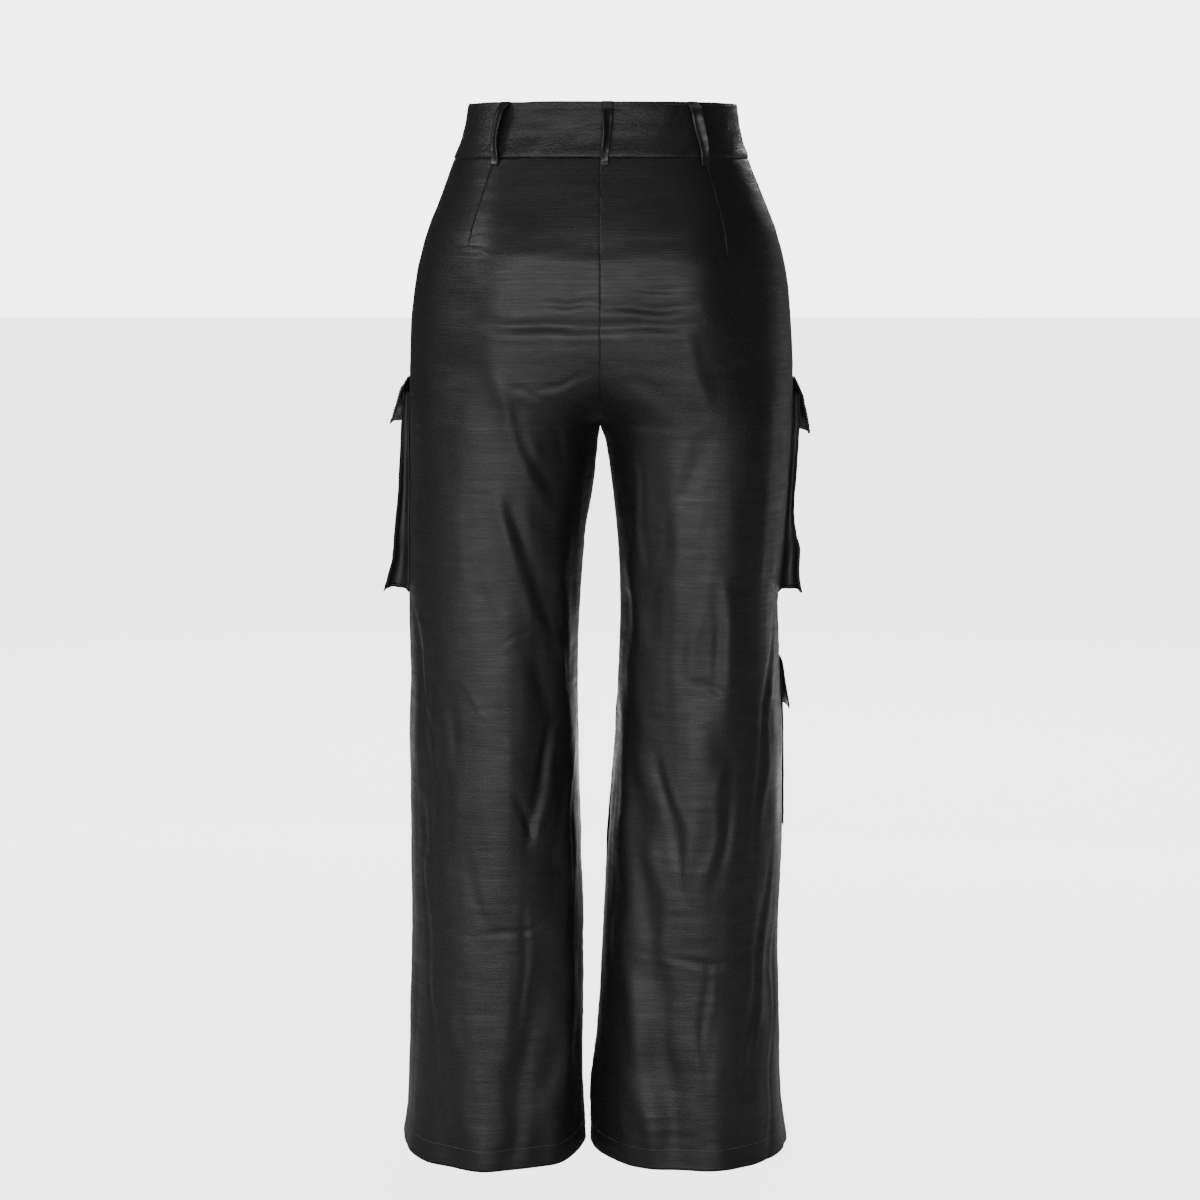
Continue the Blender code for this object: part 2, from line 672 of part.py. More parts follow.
def make_cargo_pockets(material):
    for side, name in ((LEFT, "left"), (RIGHT, "right")):
        arcs = np.linspace(CARGO_BACK, CARGO_FRONT, CARGO_COLUMNS)
        heights = np.linspace(CARGO_MOUTH, CARGO_LOW, CARGO_ROWS)

        def face_out(arc, z):
            across = (arc - CARGO_FRONT) / (CARGO_BACK - CARGO_FRONT)
            return stand_off(CARGO_STAND, z) + CARGO_CROWN * math.sin(math.pi * across)

        grid = patch(side, arcs, heights, face_out)
        cloth_shell(f"cargo_face_{name}", grid, LAYER, material)

        # The bellows strip runs down the back edge, along the bottom and up the front edge.
        path = [(CARGO_BACK, z) for z in heights]
        path += [(arc, CARGO_LOW) for arc in arcs[1:]]
        path += [(CARGO_FRONT, z) for z in heights[::-1][1:]]
        grid = []
        for depth in (0.0, 0.5, 1.0):
            line = []
            for arc, z in path:
                low = CARGO_CLEAR
                high = face_out(arc, z) - LAYER - 2 * GAP
                line.append(on_skin(side, z, arc, low + (high - low) * depth))
            grid.append(line)
        away = on_skin(side, -0.35, CARGO_BACK + 0.01, 0) - on_skin(side, -0.35, CARGO_BACK, 0)
        grid = facing_out(grid, away)
        cloth_shell(f"cargo_gusset_{name}", grid, LAYER, material)

        arcs = np.linspace(CARGO_BACK + FLAP_INSET, CARGO_FRONT - FLAP_INSET, CARGO_COLUMNS)
        heights = [row.z for row in FLAP_STAND]

        def flap_out(arc, z):
            across = (arc - CARGO_FRONT) / (CARGO_BACK - CARGO_FRONT)
            crown = CARGO_CROWN * math.sin(math.pi * min(max(across, 0), 1))
            lift = min(max((FLAP_TOP - z) / FLAP_LIFT, 0), 1)
            return stand_off(FLAP_STAND, z) + crown * lift

        grid = patch(side, arcs, heights, flap_out)
        cloth_shell(f"cargo_flap_{name}", grid, FLAP_WALL, material)


def make_knee_pocket(material):
    """A flat patch pocket with a flap, on the right leg only."""
    arcs = np.linspace(KNEE_BACK, KNEE_FRONT, KNEE_COLUMNS)
    heights = np.linspace(KNEE_MOUTH, KNEE_LOW, KNEE_ROWS)
    grid = patch(RIGHT, arcs, heights, lambda arc, z: KNEE_OUT)
    cloth_shell("knee_pocket", grid, KNEE_WALL, material)
    arcs = np.linspace(KNEE_BACK + KNEE_FLAP_INSET, KNEE_FRONT - KNEE_FLAP_INSET, KNEE_COLUMNS)
    heights = [row.z for row in KNEE_FLAP_STAND]
    grid = patch(RIGHT, arcs, heights, lambda arc, z: stand_off(KNEE_FLAP_STAND, z))
    cloth_shell("knee_flap", grid, KNEE_FLAP_WALL, material)


clear_scene()
trousers = bpy.data.collections.new("wide_leg_cargo_trousers")
cutters = bpy.data.collections.new("cutters")
bpy.context.scene.collection.children.link(trousers)
bpy.context.scene.collection.children.link(cutters)
cutters.hide_render = True

charcoal = make_material("charcoal_satin", (0.020, 0.020, 0.023), 0.42, 0.0)
charcoal_band = make_material("charcoal_band", (0.018, 0.018, 0.021), 0.45, 0.0)
charcoal_trim = make_material("charcoal_trim", (0.012, 0.012, 0.014), 0.5, 0.0)
tape_black = make_material("tape_black", (0.010, 0.010, 0.011), 0.7, 0.0)
button_black = make_material("button_black", (0.015, 0.015, 0.016), 0.3, 0.0)

make_panels(charcoal)
make_facings(charcoal)
make_waistband(charcoal_band)
make_fly(charcoal, tape_black)
make_button(button_black)
make_loops(charcoal_trim)
make_cargo_pockets(charcoal_trim)
make_knee_pocket(charcoal_trim)
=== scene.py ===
import math
from collections import namedtuple

import bmesh
import bpy
import numpy as np
from mathutils import Matrix, Vector


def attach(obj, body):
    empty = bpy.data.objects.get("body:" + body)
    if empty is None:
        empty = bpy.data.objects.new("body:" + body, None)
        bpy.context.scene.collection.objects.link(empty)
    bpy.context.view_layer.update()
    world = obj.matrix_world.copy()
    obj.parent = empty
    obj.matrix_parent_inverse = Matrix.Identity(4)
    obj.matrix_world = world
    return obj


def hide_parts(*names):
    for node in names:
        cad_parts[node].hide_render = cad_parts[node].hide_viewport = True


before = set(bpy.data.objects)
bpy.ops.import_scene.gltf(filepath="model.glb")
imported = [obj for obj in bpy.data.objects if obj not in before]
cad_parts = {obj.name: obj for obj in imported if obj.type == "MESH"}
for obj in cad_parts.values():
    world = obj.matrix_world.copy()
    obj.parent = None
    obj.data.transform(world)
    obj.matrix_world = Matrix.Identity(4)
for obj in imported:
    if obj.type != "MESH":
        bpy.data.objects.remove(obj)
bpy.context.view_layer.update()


# ---------------------------------------------------------------- leg panels
# Four panels of heavy near-black satin, two back and two front, sewn at the side seams, the
# inseams and down the centre, with a waist dart in each back. Each hem is turned up once inside.
# The seams sink a little and pucker where the thread pulls.

LEFT, RIGHT = 1, -1
BACK, FRONT = 1, -1
BAND_TOP = 0.027
BAND_LOW = -0.026
CROTCH_Z = -0.283
HEM_Z = -1.015
HEM_TURN = 0.022
HEM_RISE = 0.008
ROUNDNESS = 2.2

# The level sections that the cloth is cut and hung to: half widths from the centre plane, depths
# to the back and front, and how far each half has closed into a leg (1 below the crotch)
Section = namedtuple("Section", "z left_out left_in right_out right_in back front join")
SECTIONS = [
    Section(0.030, 0.1265, -0.0002, 0.1315, -0.0002, 0.088, 0.091, 0.00),
    Section(-0.005, 0.1335, -0.0002, 0.1370, -0.0002, 0.092, 0.095, 0.00),
    Section(-0.026, 0.1420, -0.0002, 0.1445, -0.0002, 0.098, 0.099, 0.00),
    Section(-0.062, 0.1555, -0.0002, 0.1590, -0.0002, 0.111, 0.104, 0.00),
    Section(-0.100, 0.1700, -0.0002, 0.1735, -0.0002, 0.123, 0.107, 0.00),
    Section(-0.148, 0.1810, -0.0002, 0.1840, -0.0002, 0.130, 0.109, 0.00),
    Section(-0.195, 0.1858, -0.0002, 0.1878, -0.0002, 0.128, 0.109, 0.05),
    Section(-0.225, 0.1866, -0.0002, 0.1892, -0.0002, 0.122, 0.108, 0.25),
    Section(-0.250, 0.1870, -0.0002, 0.1893, -0.0002, 0.117, 0.107, 0.58),
    Section(-0.268, 0.1872, -0.0002, 0.1893, -0.0002, 0.113, 0.106, 0.86),
    Section(-0.283, 0.1874, -0.0002, 0.1891, -0.0002, 0.111, 0.106, 1.00),
    Section(-0.300, 0.1876, 0.0020, 0.1886, 0.0055, 0.109, 0.106, 1.00),
    Section(-0.335, 0.1882, 0.0060, 0.1868, 0.0105, 0.107, 0.106, 1.00),
    Section(-0.400, 0.1895, 0.0150, 0.1820, 0.0175, 0.105, 0.104, 1.00),
    Section(-0.465, 0.1902, 0.0198, 0.1772, 0.0205, 0.103, 0.102, 1.00),
    Section(-0.520, 0.1888, 0.0220, 0.1788, 0.0190, 0.101, 0.101, 1.00),
    Section(-0.600, 0.1912, 0.0220, 0.1826, 0.0145, 0.099, 0.100, 1.00),
    Section(-0.700, 0.1912, 0.0195, 0.1825, 0.0075, 0.098, 0.099, 1.00),
    Section(-0.800, 0.1908, 0.0170, 0.1796, 0.0022, 0.100, 0.099, 1.00),
    Section(-0.900, 0.1940, 0.0170, 0.1826, -0.0030, 0.104, 0.101, 1.00),
    Section(-0.970, 0.1962, 0.0158, 0.1852, -0.0105, 0.107, 0.104, 1.00),
    Section(-1.015, 0.2015, 0.0140, 0.1905, -0.0100, 0.110, 0.106, 1.00),
]

# Folds that run down the cloth. bow moves the middle sideways, width is half the
# width, height is out from the skin, and lip is the side where a ridge stands beside a trough.
Fold = namedtuple("Fold", "face top low x_top x_low bow width height lip")
FOLDS = {
    LEFT: [
        Fold(BACK, 0.020, -0.262, 0.104, 0.100, 0.000, 0.0380, 0.0062, 0),
        Fold(BACK, -0.185, -0.375, 0.104, 0.042, 0.010, 0.0100, 0.0025, 0),
        Fold(BACK, -0.270, -0.510, 0.109, 0.046, 0.008, 0.0100, 0.0027, 0),
        Fold(BACK, -0.235, -0.345, 0.086, 0.048, 0.006, 0.0071, -0.0023, 0),
        Fold(BACK, -0.270, -0.510, 0.108, 0.034, 0.006, 0.0094, -0.0025, 0),
        Fold(BACK, -0.262, -0.325, 0.044, 0.034, 0.001, 0.0045, -0.0008, 1),
        Fold(BACK, -0.262, -0.335, 0.021, 0.014, 0.001, 0.0045, -0.0008, 1),
        Fold(BACK, -0.405, -0.520, 0.119, 0.098, 0.001, 0.0078, -0.0010, 1),
        Fold(BACK, -0.450, -0.545, 0.048, 0.036, 0.001, 0.0035, 0.0013, 0),
        Fold(BACK, -0.490, -0.570, 0.068, 0.050, 0.001, 0.0078, -0.0012, 1),
        Fold(BACK, -0.525, -0.570, 0.133, 0.110, 0.000, 0.0026, 0.0007, 0),
        Fold(BACK, -0.515, -0.620, 0.146, 0.141, 0.000, 0.0065, -0.0008, -1),
        Fold(BACK, -0.560, -0.700, 0.045, 0.071, 0.002, 0.0062, -0.0033, 1),
        Fold(BACK, -0.635, -0.690, 0.084, 0.064, 0.000, 0.0038, -0.0024, 0),
        Fold(BACK, -0.330, -0.610, 0.040, 0.040, 0.000, 0.0160, 0.0040, 0),
        Fold(BACK, -0.500, -1.120, 0.032, 0.038, 0.000, 0.0200, 0.0060, 0),
        Fold(BACK, -0.600, -0.725, 0.034, 0.045, 0.002, 0.0065, -0.0012, 1),
        Fold(BACK, -0.690, -0.775, 0.130, 0.112, 0.002, 0.0058, -0.0010, 1),
        Fold(BACK, -0.635, -0.730, 0.179, 0.166, 0.000, 0.0078, -0.0009, 1),
        Fold(BACK, -0.500, -0.780, 0.094, 0.092, 0.004, 0.0300, 0.0040, 0),
        Fold(BACK, -0.785, -1.070, 0.055, 0.092, 0.004, 0.0130, -0.0034, 0),
        Fold(BACK, -0.800, -1.090, 0.028, 0.056, 0.001, 0.0120, 0.0036, 0),
        Fold(BACK, -0.860, -1.120, 0.118, 0.108, 0.000, 0.0220, 0.0044, 0),
        Fold(BACK, -0.850, -0.960, 0.112, 0.108, 0.001, 0.0065, -0.0008, 1),
        Fold(BACK, -0.880, -1.100, 0.160, 0.152, 0.000, 0.0160, -0.0038, 0),
        Fold(BACK, -0.800, -0.930, 0.140, 0.128, 0.002, 0.0091, -0.0008, -1),
        Fold(BACK, -0.455, -0.660, 0.183, 0.164, -0.003, 0.0046, -0.0022, 1),
        Fold(BACK, -0.470, -0.800, 0.166, 0.158, 0.001, 0.0038, -0.0013, -1),
        Fold(BACK, -0.640, -0.980, 0.176, 0.160, 0.001, 0.0038, -0.0012, 1),
        Fold(BACK, -0.745, -0.880, 0.072, 0.078, 0.000, 0.0036, -0.0011, 1),
        Fold(BACK, -0.590, -0.800, 0.026, 0.034, 0.000, 0.0036, -0.0011, -1),
        Fold(FRONT, -0.290, -0.480, 0.050, 0.086, 0.006, 0.0103, -0.0016, 1),
        Fold(FRONT, -0.300, -0.560, 0.078, 0.118, 0.006, 0.0130, 0.0024, 0),
        Fold(FRONT, -0.275, -0.350, 0.022, 0.034, 0.002, 0.0052, -0.0009, 1),
        Fold(FRONT, -0.480, -0.700, 0.036, 0.066, -0.006, 0.0103, -0.0018, 1),
        Fold(FRONT, -0.500, -0.690, 0.140, 0.112, 0.003, 0.0091, -0.0014, -1),
        Fold(FRONT, -0.560, -1.100, 0.113, 0.098, 0.006, 0.0220, 0.0050, 0),
        Fold(FRONT, -0.700, -0.860, 0.078, 0.052, 0.003, 0.0078, -0.0013, 1),
        Fold(FRONT, -0.780, -1.100, 0.140, 0.150, 0.000, 0.0130, -0.0042, 0),
        Fold(FRONT, -0.800, -1.110, 0.062, 0.052, 0.000, 0.0130, -0.0044, 0),
        Fold(FRONT, -0.860, -1.110, 0.034, 0.026, 0.000, 0.0106, 0.0024, 0),
    ],
    RIGHT: [
        Fold(BACK, 0.020, -0.262, 0.100, 0.096, 0.000, 0.0380, 0.0056, 0),
        Fold(BACK, -0.280, -0.360, 0.106, 0.070, 0.002, 0.0091, -0.0015, 1),
        Fold(BACK, -0.190, -0.275, 0.086, 0.108, -0.004, 0.0071, 0.0014, 0),
        Fold(BACK, -0.345, -0.450, 0.065, 0.052, 0.003, 0.0078, -0.0014, -1),
        Fold(BACK, -0.420, -0.535, 0.090, 0.074, 0.002, 0.0065, -0.0010, -1),
        Fold(BACK, -0.425, -0.545, 0.110, 0.115, 0.001, 0.0052, -0.0018, -1),
        Fold(BACK, -0.415, -0.600, 0.122, 0.123, 0.002, 0.0094, 0.0023, 0),
        Fold(BACK, -0.560, -0.860, 0.031, 0.060, -0.004, 0.0103, -0.0023, -1),
        Fold(BACK, -0.585, -0.750, 0.051, 0.084, 0.003, 0.0056, -0.0022, -1),
        Fold(BACK, -0.310, -0.600, 0.036, 0.038, 0.000, 0.0160, 0.0048, 0),
        Fold(BACK, -0.460, -1.120, 0.026, 0.034, 0.000, 0.0200, 0.0062, 0),
        Fold(BACK, -0.540, -0.790, 0.096, 0.094, 0.000, 0.0260, 0.0046, 0),
        Fold(BACK, -0.600, -0.745, 0.131, 0.110, 0.002, 0.0062, -0.0024, 1),
        Fold(BACK, -0.785, -1.070, 0.054, 0.090, -0.006, 0.0130, -0.0036, 0),
        Fold(BACK, -0.810, -1.090, 0.030, 0.062, 0.000, 0.0120, 0.0038, 0),
        Fold(BACK, -0.880, -1.120, 0.116, 0.112, 0.000, 0.0260, 0.0038, 0),
        Fold(BACK, -0.850, -0.960, 0.106, 0.102, 0.001, 0.0065, -0.0006, 1),
        Fold(BACK, -0.460, -0.715, 0.171, 0.150, -0.001, 0.0048, -0.0018, -1),
        Fold(BACK, -0.730, -1.060, 0.176, 0.166, 0.001, 0.0038, -0.0014, 1),
        Fold(BACK, -0.300, -0.430, 0.036, 0.048, 0.000, 0.0038, -0.0010, 1),
        Fold(BACK, -0.800, -0.905, 0.106, 0.100, 0.000, 0.0038, -0.0012, -1),
        Fold(BACK, -0.690, -0.960, 0.170, 0.138, 0.001, 0.0052, -0.0020, -1),
        Fold(BACK, -0.860, -1.100, 0.160, 0.146, 0.001, 0.0142, 0.0020, 0),
        Fold(FRONT, -0.290, -0.490, 0.048, 0.090, 0.006, 0.0103, -0.0016, 1),
        Fold(FRONT, -0.330, -0.600, 0.080, 0.112, 0.006, 0.0142, 0.0025, 0),
        Fold(FRONT, -0.280, -0.355, 0.024, 0.036, 0.002, 0.0052, -0.0009, 1),
        Fold(FRONT, -0.500, -0.760, 0.034, 0.060, -0.006, 0.0103, -0.0018, 1),
        Fold(FRONT, -0.600, -1.100, 0.108, 0.094, 0.004, 0.0220, 0.0048, 0),
        Fold(FRONT, -0.710, -0.850, 0.120, 0.100, 0.003, 0.0078, -0.0012, -1),
        Fold(FRONT, -0.820, -1.100, 0.136, 0.142, 0.000, 0.0130, -0.0042, 0),
        Fold(FRONT, -0.800, -1.110, 0.052, 0.046, 0.000, 0.0130, -0.0042, 0),
        Fold(FRONT, -0.880, -1.110, 0.026, 0.022, 0.000, 0.0106, 0.0022, 0),
    ],
}

# Creases that run across the cloth between two distances from the centre plane
Crease = namedtuple("Crease", "face side x_in x_out z_in z_out sag width height")
CREASES = [
    Crease(BACK, LEFT, 0.096, 0.142, -0.094, -0.101, 0.001, 0.0022, -0.0007),
    Crease(BACK, LEFT, 0.102, 0.150, -0.106, -0.107, 0.001, 0.0024, -0.0008),
    Crease(BACK, LEFT, 0.088, 0.132, -0.117, -0.112, 0.000, 0.0022, 0.0006),
    Crease(BACK, LEFT, 0.070, 0.120, -0.128, -0.118, 0.000, 0.0026, 0.0005),
    Crease(BACK, RIGHT, 0.100, 0.140, -0.116, -0.121, 0.001, 0.0024, -0.0005),
    Crease(BACK, LEFT, -0.060, 0.150, -0.122, -0.112, 0.003, 0.0110, 0.0015),
    Crease(BACK, RIGHT, 0.000, 0.150, -0.118, -0.126, -0.002, 0.0120, 0.0010),
    Crease(BACK, RIGHT, 0.006, 0.100, -0.146, -0.149, 0.001, 0.0026, -0.0006),
    Crease(BACK, LEFT, 0.004, 0.050, -0.152, -0.150, 0.001, 0.0026, -0.0006),
    Crease(BACK, LEFT, -0.020, 0.120, -0.181, -0.180, 0.003, 0.0056, -0.0024),
    Crease(BACK, RIGHT, -0.020, 0.100, -0.182, -0.180, 0.002, 0.0052, -0.0018),
    Crease(BACK, LEFT, -0.010, 0.060, -0.160, -0.162, 0.001, 0.0036, -0.0012),
    Crease(BACK, RIGHT, -0.012, 0.095, -0.163, -0.167, 0.001, 0.0048, -0.0022),
    Crease(BACK, RIGHT, 0.004, 0.060, -0.156, -0.158, 0.001, 0.0030, -0.0005),
    Crease(BACK, LEFT, 0.004, 0.066, -0.226, -0.247, 0.001, 0.0039, -0.0012),
    Crease(BACK, LEFT, 0.055, 0.092, -0.250, -0.236, 0.001, 0.0041, -0.0011),
    Crease(BACK, RIGHT, 0.020, 0.080, -0.226, -0.256, 0.004, 0.0103, -0.0016),
    Crease(BACK, LEFT, 0.040, 0.120, -0.762, -0.774, 0.008, 0.0034, -0.0011),
    Crease(BACK, RIGHT, 0.055, 0.145, -0.795, -0.803, 0.009, 0.0041, -0.0012),
    Crease(BACK, RIGHT, 0.078, 0.135, -0.523, -0.540, 0.001, 0.0037, -0.0011),
    Crease(BACK, LEFT, 0.060, 0.100, -0.474, -0.492, 0.000, 0.0028, -0.0006),
    Crease(FRONT, LEFT, 0.010, 0.085, -0.246, -0.215, 0.006, 0.0057, -0.0014),
    Crease(FRONT, RIGHT, 0.010, 0.085, -0.250, -0.217, 0.006, 0.0057, -0.0014),
    Crease(FRONT, LEFT, 0.008, 0.060, -0.262, -0.240, 0.004, 0.0046, -0.0011),
    Crease(FRONT, RIGHT, 0.008, 0.056, -0.264, -0.243, 0.004, 0.0046, -0.0011),
    Crease(FRONT, LEFT, 0.050, 0.150, -0.560, -0.548, 0.004, 0.0080, -0.0009),
    Crease(FRONT, RIGHT, 0.045, 0.145, -0.742, -0.735, 0.004, 0.0080, -0.0008),
]


def smooth_table(z, heights, values):
    """Reads a table at z along a smooth curve that never passes beyond its rows."""
    heights = np.asarray(heights, float)[::-1]
    values = np.asarray(values, float)[::-1]
    step = np.diff(heights)
    rise = np.diff(values) / step
    slope = np.zeros(len(values))
    same = rise[1:] * rise[:-1] > 0
    slope[1:-1][same] = 2 * rise[1:][same] * rise[:-1][same] / (rise[1:] + rise[:-1])[same]
    slope[0] = rise[0]
    slope[-1] = rise[-1]
    row = np.clip(np.searchsorted(heights, z) - 1, 0, len(step) - 1)
    t = np.clip((z - heights[row]) / step[row], 0, 1)
    start = values[row] * (1 + 2 * t) * (1 - t) ** 2 + slope[row] * step[row] * t * (1 - t) ** 2
    end = values[row + 1] * t**2 * (3 - 2 * t) - slope[row + 1] * step[row] * t**2 * (1 - t)
    return start + end


def section(side, z):
    """Centre, half width, half depth and last angle of one side's ring at heights z."""
    column = {
        name: smooth_table(z, [row.z for row in SECTIONS], [getattr(row, name) for row in SECTIONS])
        for name in Section._fields[1:]
    }
    out = column["left_out" if side == LEFT else "right_out"]
    inner = column["left_in" if side == LEFT else "right_in"]
    join = np.clip(column["join"], 0, 1)
    half_width = (out - inner) / (1 + join)
    centre_x = inner + join * half_width
    half_depth = (column["back"] + column["front"]) / 2
    centre_y = (column["back"] - column["front"]) / 2
    last = np.arccos(-(join ** (ROUNDNESS / 2)))
    return centre_x, centre_y, half_width, half_depth, last


def on_ring(shape, angle):
    """Points of a ring, and its outward direction in the level plane."""
    centre_x, centre_y, half_width, half_depth, _ = shape
    cos, sin = np.cos(angle), np.sin(angle)
    x = centre_x + half_width * np.sign(cos) * np.abs(cos) ** (2 / ROUNDNESS)
    y = centre_y + half_depth * np.sign(sin) * np.abs(sin) ** (2 / ROUNDNESS)
    out_x = np.sign(cos) * np.abs(cos) ** (2 - 2 / ROUNDNESS) / half_width
    out_y = np.sign(sin) * np.abs(sin) ** (2 - 2 / ROUNDNESS) / half_depth
    size = np.hypot(out_x, out_y)
    return x, y, out_x / size, out_y / size


LEVELS = np.append(np.arange(0.034, CROTCH_Z, -0.004), np.arange(CROTCH_Z, HEM_Z - 0.02, -0.004))
SPREAD = np.linspace(-1, 1, 193)


def measure_side(side):
    """Lengths round the ring at every level: by angle, and the angle by length."""
    arcs = np.zeros((len(LEVELS), len(SPREAD)))
    turns = np.zeros_like(arcs)
    for i, z in enumerate(LEVELS):
        shape = section(side, z)
        x, y, _, _ = on_ring(shape, SPREAD * shape[4])
        arc = np.concatenate([[0], np.cumsum(np.hypot(np.diff(x), np.diff(y)))])
        arcs[i] = arc - arc[len(SPREAD) // 2]
        wanted = np.where(SPREAD < 0, -SPREAD * arcs[i, 0], SPREAD * arcs[i, -1])
        turns[i] = np.interp(wanted, arcs[i], SPREAD)
    return arcs, turns


ARCS = {}
TURNS = {}
for side in (LEFT, RIGHT):
    ARCS[side], TURNS[side] = measure_side(side)


def read_levels(table, z, spread):
    """A table of LEVELS by SPREAD, read between its entries."""
    row = np.clip(np.interp(-z, -LEVELS, np.arange(len(LEVELS))), 0, len(LEVELS) - 1.001)
    column = np.clip((spread + 1) / 2 * (len(SPREAD) - 1), 0, len(SPREAD) - 1.001)
    i, j = row.astype(int), column.astype(int)
    a, b = row - i, column - j
    upper = table[i, j] * (1 - b) + table[i, j + 1] * b
    lower = table[i + 1, j] * (1 - b) + table[i + 1, j + 1] * b
    return upper * (1 - a) + lower * a


def seam_arc(side, face, z):
    """The signed length from the side seam to the centre seam or the inseam."""
    return np.interp(-z, -LEVELS, ARCS[side][:, -1 if face == BACK else 0])


def arc_at_x(side, face, z, x):
    """The signed length from the side seam to the place x from the centre plane."""
    centre_x, _, half_width, _, last = section(side, z)
    u = np.clip((x - centre_x) / half_width, -1, 1)
    angle = np.arccos(np.sign(u) * np.abs(u) ** (ROUNDNESS / 2))
    return read_levels(ARCS[side], z, face * np.clip(angle / last, 0, 1))


def waves(u, v, cell_u, cell_v, seed):
    """Smooth seeded unevenness, from -1 to 1, with cells of the given size."""
    values = np.random.RandomState(seed).uniform(-1, 1, (64, 64))
    a, b = u / cell_u, v / cell_v
    i, j = np.floor(a).astype(int), np.floor(b).astype(int)
    s, t = a - i, b - j
    s, t = s * s * (3 - 2 * s), t * t * (3 - 2 * t)
    i0, i1, j0, j1 = i % 64, (i + 1) % 64, j % 64, (j + 1) % 64
    upper = values[i0, j0] * (1 - s) + values[i1, j0] * s
    lower = values[i0, j1] * (1 - s) + values[i1, j1] * s
    return upper * (1 - t) + lower * t


# Small unevenness over all the cloth, in seeded cells. The loose rows fade out over the hips.
Uneven = namedtuple("Uneven", "height across down seed loose")
UNEVEN = [
    Uneven(0.0011, 0.030, 0.085, 11, True),
    Uneven(0.0004, 0.014, 0.030, 21, True),
    Uneven(0.00022, 0.028, 0.0065, 31, False),
    Uneven(0.00020, 0.0075, 0.095, 51, True),
]
LIP_SHARE = 0.55
LIP_AWAY = 1.7

FOLD_LINES = {}
for side in (LEFT, RIGHT):
    for number, fold in enumerate(FOLDS[side]):
        along = np.clip((fold.top - LEVELS) / (fold.top - fold.low), 0, 1)
        centre_x = fold.x_top + (fold.x_low - fold.x_top) * along
        centre_x += fold.bow * np.sin(math.pi * along)
        centre_x += 0.0016 * np.sin(LEVELS * 55 + number * 1.7)
        FOLD_LINES[side, number] = arc_at_x(side, fold.face, LEVELS, centre_x)


def fold_height(side, z, arc, x, y):
    """How far all the folds and creases move points of the skin outward."""
    height = np.zeros(np.shape(z))
    for number, fold in enumerate(FOLDS[side]):
        along = np.clip((fold.top - z) / (fold.top - fold.low), 0, 1)
        ends = np.sin(math.pi * along) ** 0.9
        centre = np.interp(-z, -LEVELS, FOLD_LINES[side, number])
        away = (arc - centre) / fold.width * (1 + 0.2 * np.sin(z * 70 + number))
        shape = np.exp(-(away**2))
        if fold.lip:
            shape = shape - LIP_SHARE * np.exp(-((away - LIP_AWAY * fold.lip * fold.face) ** 2))
        height += fold.height * ends * shape
    for crease in CREASES:
        distance = x if crease.side == side else -x
        along = np.clip((distance - crease.x_in) / (crease.x_out - crease.x_in), 0, 1)
        middle = crease.z_in + (crease.z_out - crease.z_in) * along
        middle = middle - crease.sag * np.sin(math.pi * along)
        middle = middle + 0.0012 * np.sin(along * 11 + crease.z_in * 90)
        ends = np.sin(math.pi * along) * (y * crease.face > 0)
        away = (z - middle) / crease.width
        height += crease.height * ends * (np.exp(-(away**2)) - 0.4 * np.exp(-((away + 1.9) ** 2)))
    down = z * np.ones_like(arc)
    loose = np.clip((-0.14 - z) / 0.2, 0.12, 1)
    for row in UNEVEN:
        share = loose if row.loose else 1.0
        height += row.height * share * waves(arc, down, row.across, row.down, row.seed + side)
    return height


SEAM_FLAT = 0.014


def skin(side, z, arc):
    """Points on the outer face of the cloth at height z and signed length from the side seam."""
    z, arc = np.broadcast_arrays(np.asarray(z, float), np.asarray(arc, float))
    end = seam_arc(side, BACK, z) * (arc > 0) + seam_arc(side, FRONT, z) * (arc <= 0)
    over = (np.abs(arc) > np.abs(end)) & (z > CROTCH_Z)
    shape = section(side, z)
    spread = np.clip(np.abs(arc / end), 0, 1) * np.sign(arc)
    angle = read_levels(TURNS[side], z, spread) * shape[4]
    x, y, out_x, out_y = on_ring(shape, angle)
    height = fold_height(side, z, arc, x, y)
    # Beside the centre seam the folds move the cloth in and out only, so that the seam stays shut.
    from_seam = np.clip(np.abs(end - arc) / SEAM_FLAT, 0, 1) ** 2
    sideways = np.maximum(from_seam, np.clip((CROTCH_Z - z) / 0.020, 0, 1))
    points = np.stack([side * (x + out_x * height * sideways), y + out_y * height, z], axis=-1)
    if over.any():
        mirrored = seam_arc(-side, BACK, z) * (arc > 0) + seam_arc(-side, FRONT, z) * (arc <= 0)
        points[over] = skin(-side, z[over], (mirrored - (arc - end))[over])
    return points


def on_cloth(side, z, arc, out=0.0):
    """Points moved out from the cloth along its own outward direction."""
    z, arc = np.broadcast_arrays(np.asarray(z, float), np.asarray(arc, float))
    reach = 0.0008
    points = skin(side, z, arc)
    across = skin(side, z, arc + reach) - skin(side, z, arc - reach)
    down = skin(side, z - reach, arc) - skin(side, z + reach, arc)
    normal = np.cross(down, across) * side
    normal /= np.maximum(np.linalg.norm(normal, axis=-1, keepdims=True), 1e-12)
    return points + normal * np.asarray(out)[..., None] * np.ones_like(points)


# Polyester satin with a slubbed weft: near-black charcoal, with a soft silvery shine that breaks
# into fine streaks across the cloth where thicker weft threads lie, and small pressed crinkles
SATIN_DARK = (0.0056, 0.0056, 0.0058)
SATIN_LIGHT = (0.0225, 0.0224, 0.0227)
SATIN_ROUGH = 0.465
SATIN_RELIEF = 0.00060
GLOSS_REACH = 0.26


